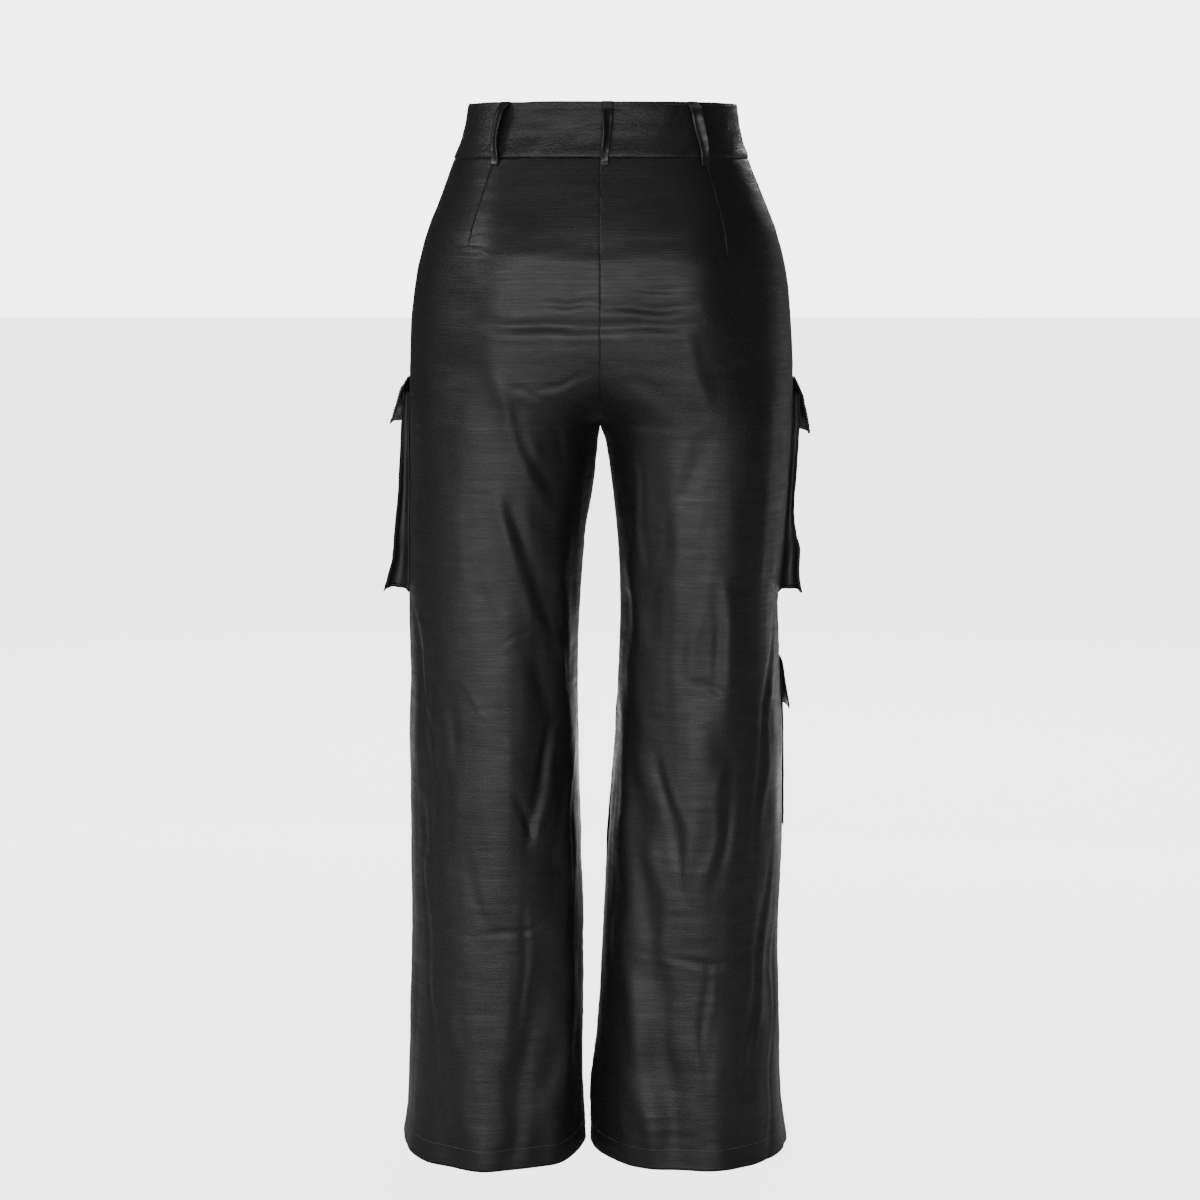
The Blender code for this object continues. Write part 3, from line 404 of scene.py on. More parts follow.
def new_group(name, inputs, outputs):
    """An empty shader node group with the sockets named."""
    group = bpy.data.node_groups.new(name, "ShaderNodeTree")
    for socket, kind, value in inputs:
        made = group.interface.new_socket(name=socket, in_out="INPUT", socket_type=kind)
        if value is not None:
            made.default_value = value
    for socket, kind in outputs:
        group.interface.new_socket(name=socket, in_out="OUTPUT", socket_type=kind)
    return group, group.nodes.new("NodeGroupInput"), group.nodes.new("NodeGroupOutput")


def add_node(tree, kind, settings=None, values=None, links=None):
    """Adds a node, sets it, and links its inputs from other sockets."""
    node = tree.nodes.new(kind)
    for name, value in (settings or {}).items():
        setattr(node, name, value)
    for name, value in (values or {}).items():
        node.inputs[name].default_value = value
    for name, socket in (links or {}).items():
        tree.links.new(socket, node.inputs[name])
    return node


def math_node(tree, operation, first, second, clamp=False):
    node = add_node(tree, "ShaderNodeMath", {"operation": operation, "use_clamp": clamp})
    for place, value in enumerate((first, second)):
        if isinstance(value, (int, float)):
            node.inputs[place].default_value = value
        else:
            tree.links.new(value, node.inputs[place])
    return node.outputs[0]


def plus(tree, first, second, clamp=False):
    return math_node(tree, "ADD", first, second, clamp)


def minus(tree, first, second, clamp=False):
    return math_node(tree, "SUBTRACT", first, second, clamp)


def times(tree, first, second, clamp=False):
    return math_node(tree, "MULTIPLY", first, second, clamp)


def new_material(name):
    """A material with its node tree and its main shader."""
    material = bpy.data.materials.new(name)
    material.use_nodes = True
    return material, material.node_tree, material.node_tree.nodes["Principled BSDF"]


def mix_tones(tree, share, dark, light):
    """A colour that goes from dark to light with a mask."""
    mix = add_node(tree, "ShaderNodeMix", {"data_type": "RGBA"},
                   {"A": (*dark, 1), "B": (*light, 1)}, {"Factor": share})
    return mix.outputs["Result"]


def add_relief(tree, shader, height, distance, strength=1.0):
    relief = add_node(tree, "ShaderNodeBump", values={"Strength": strength, "Distance": distance},
                      links={"Height": height})
    tree.links.new(relief.outputs[0], shader.inputs["Normal"])


def stretched_noise(tree, vector, scale, detail, roughness):
    """Noise with its own stretch along and across the threads."""
    mapping = add_node(tree, "ShaderNodeMapping", links={"Vector": vector})
    mapping.inputs["Scale"].default_value = (scale[0], scale[1], 1.0)
    noise = add_node(tree, "ShaderNodeTexNoise",
                     values={"Scale": 1.0, "Detail": detail, "Roughness": roughness},
                     links={"Vector": mapping.outputs[0]})
    return noise.outputs["Fac"]


def make_weave_group():
    """Slubs, threads and crinkles of the satin, from a piece's own map in metres."""
    group, source, result = new_group(
        "slubbed_satin",
        [("Vector", "NodeSocketVector", None), ("Crinkle", "NodeSocketFloat", 1.0)],
        [("Tone", "NodeSocketFloat"), ("Gloss", "NodeSocketFloat"), ("Height", "NodeSocketFloat")],
    )
    vector = source.outputs["Vector"]
    long_slub = stretched_noise(group, vector, (11, 330), 5.0, 0.62)
    short_slub = stretched_noise(group, vector, (42, 800), 4.0, 0.6)
    warp = stretched_noise(group, vector, (1500, 60), 1.0, 0.5)
    cloud = stretched_noise(group, vector, (14, 26), 4.0, 0.6)
    crush = stretched_noise(group, vector, (120, 210), 4.0, 0.62)
    slub = plus(group, times(group, long_slub, 0.5), times(group, short_slub, 0.5))
    streak = times(group, minus(group, slub, 0.5), 2.6)
    broken = times(group, streak, plus(group, cloud, 0.35))
    tone = plus(group, times(group, broken, 0.75), times(group, cloud, 0.55), clamp=True)
    gloss = plus(group, times(group, broken, 0.85), times(group, minus(group, cloud, 0.5), 0.9))
    ridge = math_node(group, "ABSOLUTE", minus(group, crush, 0.5), 0.0)
    pressed = times(group, ridge, source.outputs["Crinkle"])
    woven = plus(group, times(group, slub, 0.55), times(group, warp, 0.06))
    height = minus(group, woven, times(group, pressed, 0.45))
    group.links.new(tone, result.inputs["Tone"])
    group.links.new(gloss, result.inputs["Gloss"])
    group.links.new(height, result.inputs["Height"])
    return group


WEAVE = make_weave_group()


def make_satin(name, dark, light, roughness, crinkle, bump, extra=None):
    """The satin of one group of pieces; extra may add a seam line worked on the same map."""
    material, tree, shader = new_material(name)
    place = add_node(tree, "ShaderNodeUVMap", {"uv_map": "cloth"})
    weave = add_node(tree, "ShaderNodeGroup", {"node_tree": WEAVE}, {"Crinkle": crinkle},
                     {"Vector": place.outputs[0]})
    tone = mix_tones(tree, weave.outputs["Tone"], dark, light)
    rough = minus(tree, roughness, times(tree, weave.outputs["Gloss"], GLOSS_REACH))
    height = weave.outputs["Height"]
    if extra:
        tone, height = extra(tree, place.outputs[0], tone, height)
    tree.links.new(tone, shader.inputs["Base Color"])
    tree.links.new(rough, shader.inputs["Roughness"])
    add_relief(tree, shader, height, bump)
    shader.inputs["Specular IOR Level"].default_value = 0.55
    shader.inputs["Sheen Weight"].default_value = 0.05
    shader.inputs["Sheen Roughness"].default_value = 0.35
    shader.inputs["Sheen Tint"].default_value = (0.78, 0.78, 0.79, 1)
    material.diffuse_color = (*light, 1)
    return material


satin = make_satin("charcoal_satin", SATIN_DARK, SATIN_LIGHT, SATIN_ROUGH, 1.0, SATIN_RELIEF)

WALL = 0.0007
SEAM_DIP = 0.0004
SEAM_WIDTH = 0.0013
PUCKER = 0.00028
MOUTH_REACH = 0.095
MOUTH_LOW = -0.100
FLY_END = -0.200
FLY_FADE = 0.025
LAP = 0.008
LAP_RAMP = 0.020
LAP_STEP = 0.0020
PANEL_ROWS = 430
PANEL_COLUMNS = 104

# Each back panel has a waist dart, from the band out to a point over the fullest part of the hip
Dart = namedtuple("Dart", "side x_top z_top x_low z_low")
DARTS = [Dart(LEFT, 0.098, -0.026, 0.122, -0.110), Dart(RIGHT, 0.097, -0.026, 0.118, -0.122)]
DART_HALF = 0.0011
DART_POINT = 1 / 90
DART_SHADOW = (0.002, 0.002, 0.002, 1)
MAP_ACROSS = 0.37
MAP_DOWN = 0.21


def panel_map(side, face, z, arc):
    """Where a place on a panel lies on its map, each panel on its own ground."""
    return arc + MAP_ACROSS * (2 * side + face), z + MAP_DOWN * side


def sew_darts(tree, place, tone, height):
    """A fine sunk line down each dart, with its shadow."""
    split = add_node(tree, "ShaderNodeSeparateXYZ", links={"Vector": place})
    u, v = split.outputs["X"], split.outputs["Y"]
    line = 0.0
    for dart in DARTS:
        heights = np.array([dart.z_top, dart.z_low])
        arcs = arc_at_x(dart.side, BACK, heights, np.array([dart.x_top, dart.x_low]))
        places = panel_map(dart.side, BACK, heights, arcs)
        (u_top, u_low), (v_top, v_low) = (ends.tolist() for ends in places)
        lean = (u_low - u_top) / (v_low - v_top)
        fall = minus(tree, v, v_top)
        side_step = minus(tree, minus(tree, u, u_top), times(tree, fall, lean))
        away = math_node(tree, "DIVIDE", math_node(tree, "ABSOLUTE", side_step, 0.0), DART_HALF)
        near = minus(tree, 1.0, away, clamp=True)
        above_end = math_node(tree, "DIVIDE", minus(tree, v, v_low), DART_POINT, clamp=True)
        line = plus(tree, times(tree, near, above_end), line)
    shade = add_node(tree, "ShaderNodeMix", {"data_type": "RGBA"}, {"B": DART_SHADOW},
                     {"Factor": times(tree, line, 0.75, clamp=True), "A": tone})
    return shade.outputs["Result"], minus(tree, height, times(tree, line, 1.2))


darted_satin = make_satin("darted_satin", SATIN_DARK, SATIN_LIGHT, SATIN_ROUGH, 1.0, SATIN_RELIEF,
                          sew_darts)


def add_object(name, mesh, material):
    mesh.materials.append(material)
    obj = bpy.data.objects.new(name, mesh)
    bpy.context.scene.collection.objects.link(obj)
    return obj


def grid_mesh(name, points, uv, material):
    """A sheet through a grid of points, mapped in metres, smooth."""
    rows, columns = points.shape[:2]
    index = np.arange(rows * columns).reshape(rows, columns)
    quads = np.stack([index[:-1, :-1], index[:-1, 1:], index[1:, 1:], index[1:, :-1]], axis=-1)
    quads = quads.reshape(-1, 4)
    mesh = bpy.data.meshes.new(name)
    mesh.from_pydata(points.reshape(-1, 3).tolist(), [], quads.tolist())
    layer = mesh.uv_layers.new(name="cloth")
    layer.data.foreach_set("uv", uv.reshape(-1, 2)[quads.reshape(-1)].astype(np.float32).reshape(-1))
    mesh.shade_smooth()
    return add_object(name, mesh, material)


def turned_out(points, uv, outward):
    """The grid with its columns in the order that faces outward at its first corner."""
    a, b, c = points[0, 0], points[0, 1], points[1, 0]
    if np.dot(np.cross(b - a, c - a), outward) > 0:
        return points, uv
    return points[:, ::-1], uv[:, ::-1]


def outward_at(side, z, arc):
    return on_cloth(side, [z], [arc], 0.01)[0] - on_cloth(side, [z], [arc], 0.0)[0]


def stand_in(piece, node, wall=WALL):
    """Gives a sheet its wall inwards and puts it in place of the plain solid of its node."""
    solidify = piece.modifiers.new("wall", "SOLIDIFY")
    solidify.thickness = wall
    solidify.offset = -1
    solidify.use_even_offset = False
    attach(piece, "root")
    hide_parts(node)


def mouth_height(arc):
    """The height of the slanted hip-pocket mouth at a length from the side seam."""
    t = np.clip(arc / MOUTH_REACH, 0, 1)
    rise = np.sin(t * math.pi / 2) ** 0.9 * 0.35 + t * 0.65
    return MOUTH_LOW + (BAND_LOW - MOUTH_LOW) * rise


def ease(t):
    t = np.clip(t, 0, 1)
    return t * t * (3 - 2 * t)


def hem_lift(side, arc, length):
    """The left hem kicks up a little at its outer side."""
    if side == RIGHT:
        return np.zeros_like(arc)
    return HEM_RISE * np.clip(np.cos(math.pi * np.clip(arc / length * 1.6, 0, 1)), 0, 1) ** 2


def seam_dip(distance, z, seed):
    """How far the cloth sinks and ripples beside a seam."""
    ripple = waves(distance, z, 0.02, 0.0075, seed)
    pull = PUCKER * np.exp(-((distance / 0.006) ** 2)) * ripple
    return -SEAM_DIP * np.exp(-((distance / SEAM_WIDTH) ** 2)) + pull


def make_panel(side, face, name, node):
    # Columns and rows lie closer beside the seams, the waist and the turned hem.
    near = np.array([0, 0.0035, 0.008, 0.014, 0.024])
    inside = np.linspace(0.036, 0.964, PANEL_COLUMNS - 2 * len(near))
    shares = np.concatenate([near, inside, 1 - near[::-1]])
    falls = np.linspace(0, 1, PANEL_ROWS) * (HEM_Z + 0.0004 - BAND_LOW) + BAND_LOW
    falls = np.insert(falls, [1, 1], [BAND_LOW - 0.0008, BAND_LOW - 0.0018])
    turned = HEM_Z + np.array([0.0, 0.0004, 0.002, 0.008, 0.015, HEM_TURN])
    turned_out_by = np.array([-0.0008, -0.0016, -0.0021, -0.0022, -0.0022, -0.0021])
    z = np.concatenate([falls, turned])[:, None] * np.ones(len(shares))
    hem = np.concatenate([np.zeros(len(falls)), turned_out_by])[:, None] * np.ones(len(shares))
    length = np.abs(seam_arc(side, face, z))
    arc = shares[None, :] * length
    if face == FRONT:
        fade = np.clip(1 - (BAND_LOW - z) / (BAND_LOW - CROTCH_Z), 0, 1)
        z = z + (mouth_height(arc) - BAND_LOW) * fade
    z = z + hem_lift(side, arc, length) * ease((HEM_Z + 0.30 - z) / 0.30)
    length = np.abs(seam_arc(side, face, z))
    arc = shares[None, :] * length
    # Where the two legs turn towards each other the centre seam lies flat, so that it stays shut.
    closing = smooth_table(z, [row.z for row in SECTIONS], [row.join for row in SECTIONS])
    flat = np.where(z > CROTCH_Z, (1 - np.clip(closing, 0, 1)) ** 2, 1.0)
    out = hem + seam_dip(arc, z, 41) + seam_dip(length - arc, z, 43 + side) * flat
    if face == BACK or side == LEFT:
        out = out + seam_dip(BAND_LOW - z, arc, 45)
    if face == FRONT:
        from_centre = length - arc
        above = z > CROTCH_Z
        if side == LEFT:
            step = ease((LAP + LAP_RAMP - from_centre) / LAP_RAMP)
            out = out - LAP_STEP * step * np.clip((z - FLY_END) / FLY_FADE + 1, 0, 1) * above
        else:
            lap = LAP * np.clip((z - FLY_END) / FLY_FADE, 0, 1) * above
            arc = arc + lap * ease((arc / length - 0.9) / 0.1)
    points = on_cloth(side, z, face * arc, out)
    uv = np.stack(panel_map(side, face, z, arc), axis=-1)
    points, uv = turned_out(points, uv, outward_at(side, BAND_LOW, face * 0.01))
    panel = grid_mesh(name, points, uv, darted_satin if face == BACK else satin)
    stand_in(panel, node)


make_panel(LEFT, BACK, "left_back_leg", "back_panel_left")
make_panel(RIGHT, BACK, "right_back_leg", "back_panel_right")
make_panel(LEFT, FRONT, "left_front_leg", "front_panel_left")
make_panel(RIGHT, FRONT, "right_front_leg", "front_panel_right")


# ---------------------------------------------------------------- thread in the hems and seams
# Polyester thread in short lock stitches. It is grey round the turned-up hems, where it shows
# as a pale line two centimetres up, and charcoal along the fly and the hip pockets.

STITCH_LONG = 0.0021
STITCH_PITCH = 0.0028
THREAD = 0.00042
THREAD_LIFT = 0.0001
FLY_STITCH = 0.031
FLY_CURVE = 0.022


def make_thread(name, color):
    """Twisted thread, its tone darker and lighter in fine random specks; the darker specks are painted
    shade in the turns of its twist.
    """
    material, tree, shader = new_material(name)
    place = add_node(tree, "ShaderNodeTexCoord")
    ply_shade = add_node(tree, "ShaderNodeTexNoise", values={"Scale": 2600.0, "Detail": 1.0},
                     links={"Vector": place.outputs["Object"]})
    # Painted shade: the noise darkens the thread's own colour in specks that stand for the shaded turns of
    # its twist.
    tone = mix_tones(tree, ply_shade.outputs["Fac"], [c * 0.55 for c in color], [c * 1.35 for c in color])
    tree.links.new(tone, shader.inputs["Base Color"])
    shader.inputs["Roughness"].default_value = 0.5
    shader.inputs["Sheen Weight"].default_value = 0.2
    material.diffuse_color = (*color, 1)
    return material


def surface_line(side, z, arc, out=THREAD_LIFT):
    """Points along a line on the cloth, each with its outward direction."""
    z, arc = np.broadcast_arrays(np.asarray(z, float), np.asarray(arc, float))
    points = on_cloth(side, z, arc, out)
    return points, (on_cloth(side, z, arc, np.asarray(out) + 0.001) - points) / 0.001


def sew(name, lines, material, pitch=STITCH_PITCH, long=STITCH_LONG):
    """Beads of thread along lines of points, joined into one piece."""
    bead = np.array(
        [(-0.5, 0, -0.3), (0.5, 0, -0.3)]
        + [(t, b, n) for t in (-0.3, 0.3) for b, n in ((-0.5, 0), (0, 0.55), (0.5, 0), (0, -0.5))]
    ) * (long, THREAD, THREAD)
    tips = [(0, 2 + (i + 1) % 4, 2 + i) for i in range(4)] + [(1, 6 + i, 6 + (i + 1) % 4) for i in range(4)]
    sides = [(2 + i, 2 + (i + 1) % 4, 6 + (i + 1) % 4, 6 + i) for i in range(4)]
    corners, faces = [], []
    for points, outward in lines:
        along = np.concatenate([[0], np.cumsum(np.linalg.norm(np.diff(points, axis=0), axis=1))])
        for place in np.arange(pitch, along[-1] - pitch / 2, pitch):
            reach = np.array([place - long / 2, place, place + long / 2])
            before, middle, after = (
                np.array([np.interp(r, along, points[:, axis]) for axis in range(3)]) for r in reach
            )
            up = np.array([np.interp(place, along, outward[:, axis]) for axis in range(3)])
            ahead = (after - before) / np.linalg.norm(after - before)
            across = np.cross(up, ahead)
            across /= np.linalg.norm(across)
            frame_axes = np.stack([ahead, across, np.cross(ahead, across)])
            start = len(corners) * len(bead)
            corners.append(middle + bead @ frame_axes)
            faces += [tuple(start + corner for corner in face) for face in tips + sides]
    mesh = bpy.data.meshes.new(name)
    mesh.from_pydata(np.concatenate(corners).tolist(), [], faces)
    mesh.shade_smooth()
    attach(add_object(name, mesh, material), "root")


hem_grey = make_thread("hem_thread", (0.17, 0.17, 0.172))
seam_black = make_thread("seam_thread", (0.045, 0.045, 0.046))

hem_lines = []
for side in (LEFT, RIGHT):
    for face in (BACK, FRONT):
        length = abs(seam_arc(side, face, HEM_Z))
        arc = np.linspace(0.002, length - 0.002, 140)
        level = HEM_Z + HEM_TURN - 0.0012 + hem_lift(side, arc, length)
        hem_lines.append(surface_line(side, level, face * arc))
sew("hem_stitches", hem_lines, hem_grey)

front_lines = []
for side in (LEFT, RIGHT):
    for below in (0.0028, 0.0090):
        arc = np.linspace(0.004, MOUTH_REACH - 0.002, 60)
        front_lines.append(surface_line(side, mouth_height(arc) - below, -arc))
for inset in (0.0, 0.0060):
    turn = np.linspace(0, math.pi / 2, 16)
    from_centre = np.concatenate([np.full(30, FLY_STITCH), FLY_STITCH * np.cos(turn)]) - inset
    level = np.concatenate([
        np.linspace(BAND_LOW - 0.002, FLY_END + FLY_CURVE, 30),
        FLY_END + FLY_CURVE - (0.030 - inset) * np.sin(turn),
    ])
    keep = from_centre > 0.0015
    level, from_centre = level[keep], from_centre[keep]
    front_lines.append(surface_line(RIGHT, level, seam_arc(RIGHT, FRONT, level) + from_centre))
sew("front_stitches", front_lines, seam_black)


# ---------------------------------------------------------------- hip pocket facings
# Behind each slanted pocket mouth a facing of the same satin closes the hip. It is caught in
# the waist seam and the side seam, one layer behind the front panel.

FACING_UNDER = 0.028
FACING_BEHIND = 0.0018
FACING_CAUGHT = 0.004
FACING_LAP = 0.008


def lay_sheet(name, node, side, z, arc, out, wall, map_shift, cloth):
    """A sheet laid over the legs in place of its plain solid."""
    z, arc, out = np.broadcast_arrays(z, arc, out)
    points = on_cloth(side, z, arc, out)
    uv = np.stack([arc + map_shift, z + MAP_DOWN * side], axis=-1)
    points, uv = turned_out(points, uv, outward_at(side, z[0, 0], arc[0, 0]))
    sheet = grid_mesh(name, points, uv, cloth)
    stand_in(sheet, node, wall=wall)
    return sheet


for side, side_name in ((LEFT, "left"), (RIGHT, "right")):
    arc = np.linspace(-FACING_LAP, MOUTH_REACH + 0.5 * FACING_UNDER, 36)[None, :]
    low = np.minimum(mouth_height(arc), BAND_LOW) - FACING_UNDER
    down = np.linspace(0, 1, 34)[:, None]
    level = BAND_LOW + FACING_CAUGHT + (low - BAND_LOW - FACING_CAUGHT) * down
    behind = FACING_BEHIND + 0.0010 * ease((level - BAND_LOW + 0.006) / 0.006)
    facing = lay_sheet(f"{side_name}_hip_facing", f"hip_facing_{side_name}", side, level, -arc,
                       -behind - 0.0006 * np.sin(math.pi * down), WALL, 1.9, satin)


# ---------------------------------------------------------------- waistband
# A strip of the satin folded over along its top edge round a stiff lining, sewn to the tops of
# the panels. Its right end laps over the left at the centre front and is edge-stitched on top.

BAND_PUFF = 0.0006
BAND_PROUD = 0.0007
BAND_THICK = 0.0024
UNDERLAP = 0.030
BAND_STITCH = 0.0030


def half_round(side, z):
    """The length round one side at a height, from the centre front to the centre back."""
    return seam_arc(side, BACK, z) - seam_arc(side, FRONT, z)


def band_point(level, station, out):
    """A place on the band: station runs from the left front lap, round the back, to the right."""
    level, station, out = np.broadcast_arrays(level, station, out)
    points = np.zeros((*level.shape, 3))
    left_whole = half_round(LEFT, level)
    for side in (LEFT, RIGHT):
        here = (station <= left_whole) if side == LEFT else (station > left_whole)
        z = level[here]
        if side == LEFT:
            arc = station[here] + seam_arc(LEFT, FRONT, z)
        else:
            arc = seam_arc(RIGHT, BACK, z) - (station[here] - left_whole[here])
        points[here] = on_cloth(side, z, arc, out[here])
    return points


def make_waistband():
    left, right = float(half_round(LEFT, 0.0)), float(half_round(RIGHT, 0.0))
    shares = np.concatenate([
        np.linspace(-UNDERLAP, LAP + LAP_RAMP, 22)[:-1],
        np.linspace(LAP + LAP_RAMP, left + right - 0.012, 300),
        np.linspace(left + right - 0.010, left + right + LAP, 12),
    ])
    outer = np.linspace(0, 1, 22)
    inner = np.linspace(1, 0, 10)
    tall = BAND_TOP - BAND_LOW
    heights = np.concatenate([BAND_LOW + 0.0009 + (tall - 0.0020) * outer,
                              [BAND_TOP - 0.0004, BAND_TOP, BAND_TOP - 0.0004],
                              BAND_LOW + 0.0008 + (tall - 0.0020) * inner, [BAND_LOW + 0.0002]])
    puffed = BAND_PUFF * np.sin(math.pi * (0.05 + 0.95 * outer)) ** 0.6 - 0.0005 * (outer == 0)
    outs = np.concatenate([puffed, [-0.0003, -BAND_THICK / 2, -BAND_THICK + 0.0003],
                           np.full(len(inner), -BAND_THICK), [-BAND_THICK * 0.55]])
    heights = np.append(heights, heights[0])[:, None]
    outs = np.append(outs, outs[0])[:, None]
    station = shares[None, :] * np.ones_like(heights)
    # Each level has its own length, so the stations between the laps are stretched to fit it.
    left_here, right_here = half_round(LEFT, heights), half_round(RIGHT, heights)
    whole_here, whole = left_here + right_here, left + right
    station = np.where(station < 0, station, np.where(
        station > whole, whole_here + (station - whole),
        np.where(station < left, station / left * left_here,
                 left_here + (station - left) / right * right_here)))
    crinkle = 0.00055 * waves(station, heights, 0.012, 0.030, 61)
    crinkle += 0.00045 * waves(station, heights, 0.030, 0.007, 62)
    step = (BAND_THICK + 0.0016) * ease((LAP + LAP_RAMP - station) / LAP_RAMP)
    edge = 0.0005 * waves(station, heights * 0, 0.03, 1, 63) * (heights > 0.01)
    points = band_point(heights + edge, station, BAND_PROUD + outs + crinkle - step)
    face_length = np.cumsum(np.hypot(np.diff(heights[:, 0], prepend=heights[0, 0]),
                                     np.diff(outs[:, 0], prepend=outs[0, 0])))
    uv = np.stack([station + 3.1, face_length[:, None] * np.ones_like(station) + 0.9], axis=-1)
    band = grid_mesh("waist_band", points, uv, band_satin)
    close = bmesh.new()
    close.from_mesh(band.data)
    bmesh.ops.remove_doubles(close, verts=close.verts, dist=1e-5)
    rim = [edge for edge in close.edges if edge.is_boundary]
    bmesh.ops.holes_fill(close, edges=rim)
    bmesh.ops.recalc_face_normals(close, faces=close.faces)
    close.to_mesh(band.data)
    close.free()
    return band, left + right


band_satin = make_satin("band_satin", (0.0066, 0.0066, 0.0068), (0.0270, 0.0269, 0.0272),
                        0.44, 5.0, SATIN_RELIEF)
waist_band, band_length = make_waistband()
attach(waist_band, "root")
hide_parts("waistband")

seam_grey = make_thread("band_thread", (0.075, 0.075, 0.076))
level = BAND_TOP - BAND_STITCH
station = np.linspace(LAP + LAP_RAMP, band_length - 0.004, 700)
station = station * float(half_round(LEFT, level) + half_round(RIGHT, level)) / band_length
lift = BAND_PROUD + BAND_PUFF * 0.8
points = band_point(level, station, lift)
outward = (band_point(level, station, lift + 0.001) - points) / 0.001
sew("band_stitches", [(points, outward)], seam_grey)


# ---------------------------------------------------------------- zip and fly shield
# A black coil zip on woven tape behind the lapped right front, with a shield of the satin
# between it and the wearer. Both hang from the waist seam.

TAPE_IN = 0.0041
SHIELD_IN = 0.0058
ZIP_LOW = -0.180
SHIELD_LOW = -0.190
TOOTH_PITCH = 0.0016
TOOTH_CROSS = 0.0007
TOOTH_HALF_WIDE = 0.0021
TOOTH_HALF_TALL = 0.00055


def hang_strip(name, node, to_right, to_left, wall, inward, low, material):
    """A strip hung behind the fly, from the waist seam down beside the centre front."""
    level = np.linspace(BAND_LOW - 0.0008, low, 60)[:, None]
    across = np.linspace(-to_right, to_left, 16)[None, :]
    end = seam_arc(RIGHT, FRONT, level)
    points = on_cloth(RIGHT, level, end - across, -inward)
    uv = np.stack(np.broadcast_arrays(across + 4.3, level), axis=-1)
    points, uv = turned_out(points, uv, outward_at(RIGHT, level[0, 0], end[0, 0] + 0.01))
    strip = grid_mesh(name, points, uv, material)
    stand_in(strip, node, wall)
    return strip


def make_tape_material():
    """Black polyester tape in a fine diagonal rib."""
    material, tree, shader = new_material("zip_tape_weave")
    place = add_node(tree, "ShaderNodeUVMap", {"uv_map": "cloth"})
    ribs = add_node(tree, "ShaderNodeTexWave", {"wave_type": "BANDS", "bands_direction": "DIAGONAL"},
                    {"Scale": 420.0, "Distortion": 1.5}, {"Vector": place.outputs[0]})
    tone = mix_tones(tree, ribs.outputs["Fac"], (0.008, 0.008, 0.009), (0.026, 0.026, 0.028))
    tree.links.new(tone, shader.inputs["Base Color"])
    add_relief(tree, shader, ribs.outputs["Fac"], 0.0002, 0.7)
    shader.inputs["Roughness"].default_value = 0.72
    return material


tape_weave = make_tape_material()
tape = hang_strip("zip_tapes", "zip_tape", 0.013, 0.013, 0.0008, TAPE_IN, ZIP_LOW, tape_weave)
shield = hang_strip("fly_shield_cloth", "fly_shield", 0.030, 0.012, 0.0012, SHIELD_IN,
                    SHIELD_LOW, satin)


def make_zip_coil():
    """The closed coil: small hooks that cross in turn down the middle of the tape."""
    corners, faces = [], []
    around = ((3, 2, 1, 0), (4, 5, 6, 7), (0, 1, 5, 4), (1, 2, 6, 5), (2, 3, 7, 6), (3, 0, 4, 7))
    for number, level in enumerate(np.arange(BAND_LOW - 0.006, ZIP_LOW + 0.006, -TOOTH_PITCH)):
        middle = float(seam_arc(RIGHT, FRONT, level)) - (TOOTH_CROSS if number % 2 else -TOOTH_CROSS)
        faces += [tuple(len(corners) + corner for corner in face) for face in around]
        for lift, taper in ((0.0001, 1.0), (0.0013, 0.8)):
            for across, up in ((-1, -1), (1, -1), (1, 1), (-1, 1)):
                z = level + up * TOOTH_HALF_TALL * taper
                arc = middle - across * TOOTH_HALF_WIDE * taper
                corners.append(on_cloth(RIGHT, [z], [arc], lift - TAPE_IN)[0])
    mesh = bpy.data.meshes.new("zip_coil")
    mesh.from_pydata([tuple(corner) for corner in corners], [], faces)
    hooks = bmesh.new()
    hooks.from_mesh(mesh)
    bmesh.ops.recalc_face_normals(hooks, faces=hooks.faces)
    hooks.to_mesh(mesh)
    hooks.free()
    return add_object("zip_coil", mesh, seam_black)


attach(make_zip_coil(), "root")


# ---------------------------------------------------------------- button
# A turned four-hole button of black resin, with a raised rim and a dished middle, sewn through
# to the left end of the band and pushed through a buttonhole in the right.

BUTTON_RADIUS = 0.009
BUTTON_THICK = 0.0034
BUTTON_X = -0.010
HOLE_RADIUS = 0.0009
HOLE_CIRCLE = 0.0024


def make_resin():
    """Black resin with a faint cloudiness and fine turning marks."""
    material, tree, shader = new_material("button_resin")
    place = add_node(tree, "ShaderNodeTexCoord")
    cloud = add_node(tree, "ShaderNodeTexNoise", values={"Scale": 210.0, "Detail": 4.0},
                     links={"Vector": place.outputs["Object"]})
    fine = add_node(tree, "ShaderNodeTexNoise", values={"Scale": 2400.0, "Detail": 2.0},
                    links={"Vector": place.outputs["Object"]})
    tone = mix_tones(tree, cloud.outputs["Fac"], (0.006, 0.006, 0.007), (0.030, 0.029, 0.030))
    rough = plus(tree, times(tree, fine.outputs["Fac"], 0.22), 0.16)
    tree.links.new(tone, shader.inputs["Base Color"])
    tree.links.new(rough, shader.inputs["Roughness"])
    add_relief(tree, shader, fine.outputs["Fac"], 0.00006, 0.35)
    return material


